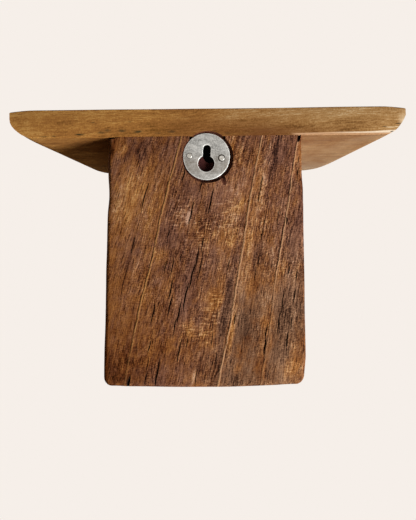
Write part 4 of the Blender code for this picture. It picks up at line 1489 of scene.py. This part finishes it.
pin = start_from(
    bpy.ops.mesh.primitive_cylinder_add, "pin", (0, 0, -PIN_HEAD_HEIGHT / 2),
    vertices=PIN_CORNERS, radius=PIN_HEAD_RADIUS, depth=PIN_HEAD_HEIGHT,
)
pin.data.materials.append(pin_zinc)
bpy.ops.object.mode_set(mode="EDIT")
bevel(pin, all_at(2, 0), PIN_HEAD_EASE, PIN_DOME_STEPS)
pick(pin, "FACE", lambda face: face.normal.z < -FACING)
bpy.ops.mesh.inset(thickness=PIN_HEAD_RADIUS - PIN_SHANK_RADIUS)
straight = PIN_LENGTH - PIN_HEAD_HEIGHT - PIN_POINT
for drop, shrink in ((straight, 1), (PIN_POINT, PIN_POINT_SHRINK)):
    bpy.ops.mesh.extrude_region_move(TRANSFORM_OT_translate={"value": (0, 0, -drop)})
    bpy.ops.transform.resize(value=(shrink, shrink, 1), center_override=(0, 0, 0))
bpy.ops.object.mode_set(mode="OBJECT")
for hand, place in pin_places.items():
    head = (place.x, -PLATE_SINK, place.z)
    copy = copy_piece(pin, f"round_head_pin_{hand}", head, (math.radians(-90), 0, 0))
    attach(copy, "root")
    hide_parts(f"plate_pin_{hand}")
bpy.data.objects.remove(pin)
print("pins:", list(pin_places))

# %% [markdown]
# ## Plug wood
#
# The plugs are cut from an offcut of the same kind of wood, so they have the board's colours but never its
# figure, and their cut fibres drink more wax and turn darker. That difference is all that shows of them on
# the board's top. The grain is read from another place in the wood, and one darker ramp colours it.

# %% Darker plug wood
PLUG_OFFCUT = (11, 37, 310)
PLUG_LAYERS = {"streaks": (1.0, 3, 12, 3.0), "fine": (0.75, 1.5, 3, 2.0)}
PLUG_SHADE = {"streaks": 1.1, "fine": 0.9}
PLUG_BROWN = [(0.0, "#4f2f13"), (0.5, "#86562a"), (1.0, "#b3834d")]


def plug_wood():
    """Waxed cut fibres, from another place in the board's wood."""
    material, tree, shader = new_material("waxed_plug_offcut")
    grain, _ = board_grain(tree)
    offcut = add_node(tree, "ShaderNodeVectorMath", {0: grain, 1: PLUG_OFFCUT}, operation="ADD")[0]
    layers = {name: fibres(tree, offcut, *size) for name, size in PLUG_LAYERS.items()}
    shade = around(tree, 0.5, layers, PLUG_SHADE)
    colour = add_node(tree, "ShaderNodeValToRGB", {0: shade}, PLUG_BROWN)[0]
    roughness = weighted(tree, 0.7, [(shade, -0.14)])
    gloss = {"Specular IOR Level": 0.03}
    set_finish(tree, shader, colour, roughness, shade, strength=0.6, depth=0.25, others=gloss)
    return material


offcut_wood = plug_wood()
print(offcut_wood.name)

# %% [markdown]
# ## Plugs and screws
#
# Wooden plugs hide the screws that hold the board down. A plug is a short turned cylinder with an eased rim
# and a chamfered end. One is modelled and copied. The screws sit deep in the wood: their solids are right as
# they are and only get a finish.

# %% Model one plug and copy it
PLUG_RADIUS = 5 * MM
PLUG_LENGTH = 5.5 * MM
PLUG_SINK = 0.1 * MM
# The level of a rim, how far it is eased, and in how many steps
PLUG_RIMS = ((0, 0.25 * MM, 2), (-PLUG_LENGTH, 0.5 * MM, 1))

plug = start_from(
    bpy.ops.mesh.primitive_cylinder_add, "plug", (0, 0, -PLUG_LENGTH / 2),
    vertices=PLUG_CORNERS, radius=PLUG_RADIUS, depth=PLUG_LENGTH,
)
plug.data.materials.append(offcut_wood)
bpy.ops.object.mode_set(mode="EDIT")
for level, ease, steps in PLUG_RIMS:
    bevel(plug, all_at(2, level), ease, steps)
bpy.ops.object.mode_set(mode="OBJECT")
for name in screw_nodes:
    where = name.removeprefix("shelf_screw_")
    copy = copy_piece(plug, f"wooden_plug_{where}", over_screw(name, board_high.z - PLUG_SINK))
    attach(copy, "root")
    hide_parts(f"screw_plug_{where}")
    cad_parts[name].data.materials.clear()
    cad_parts[name].data.materials.append(screw_zinc)
bpy.data.objects.remove(plug)
print("plugs and screws:", screw_nodes)
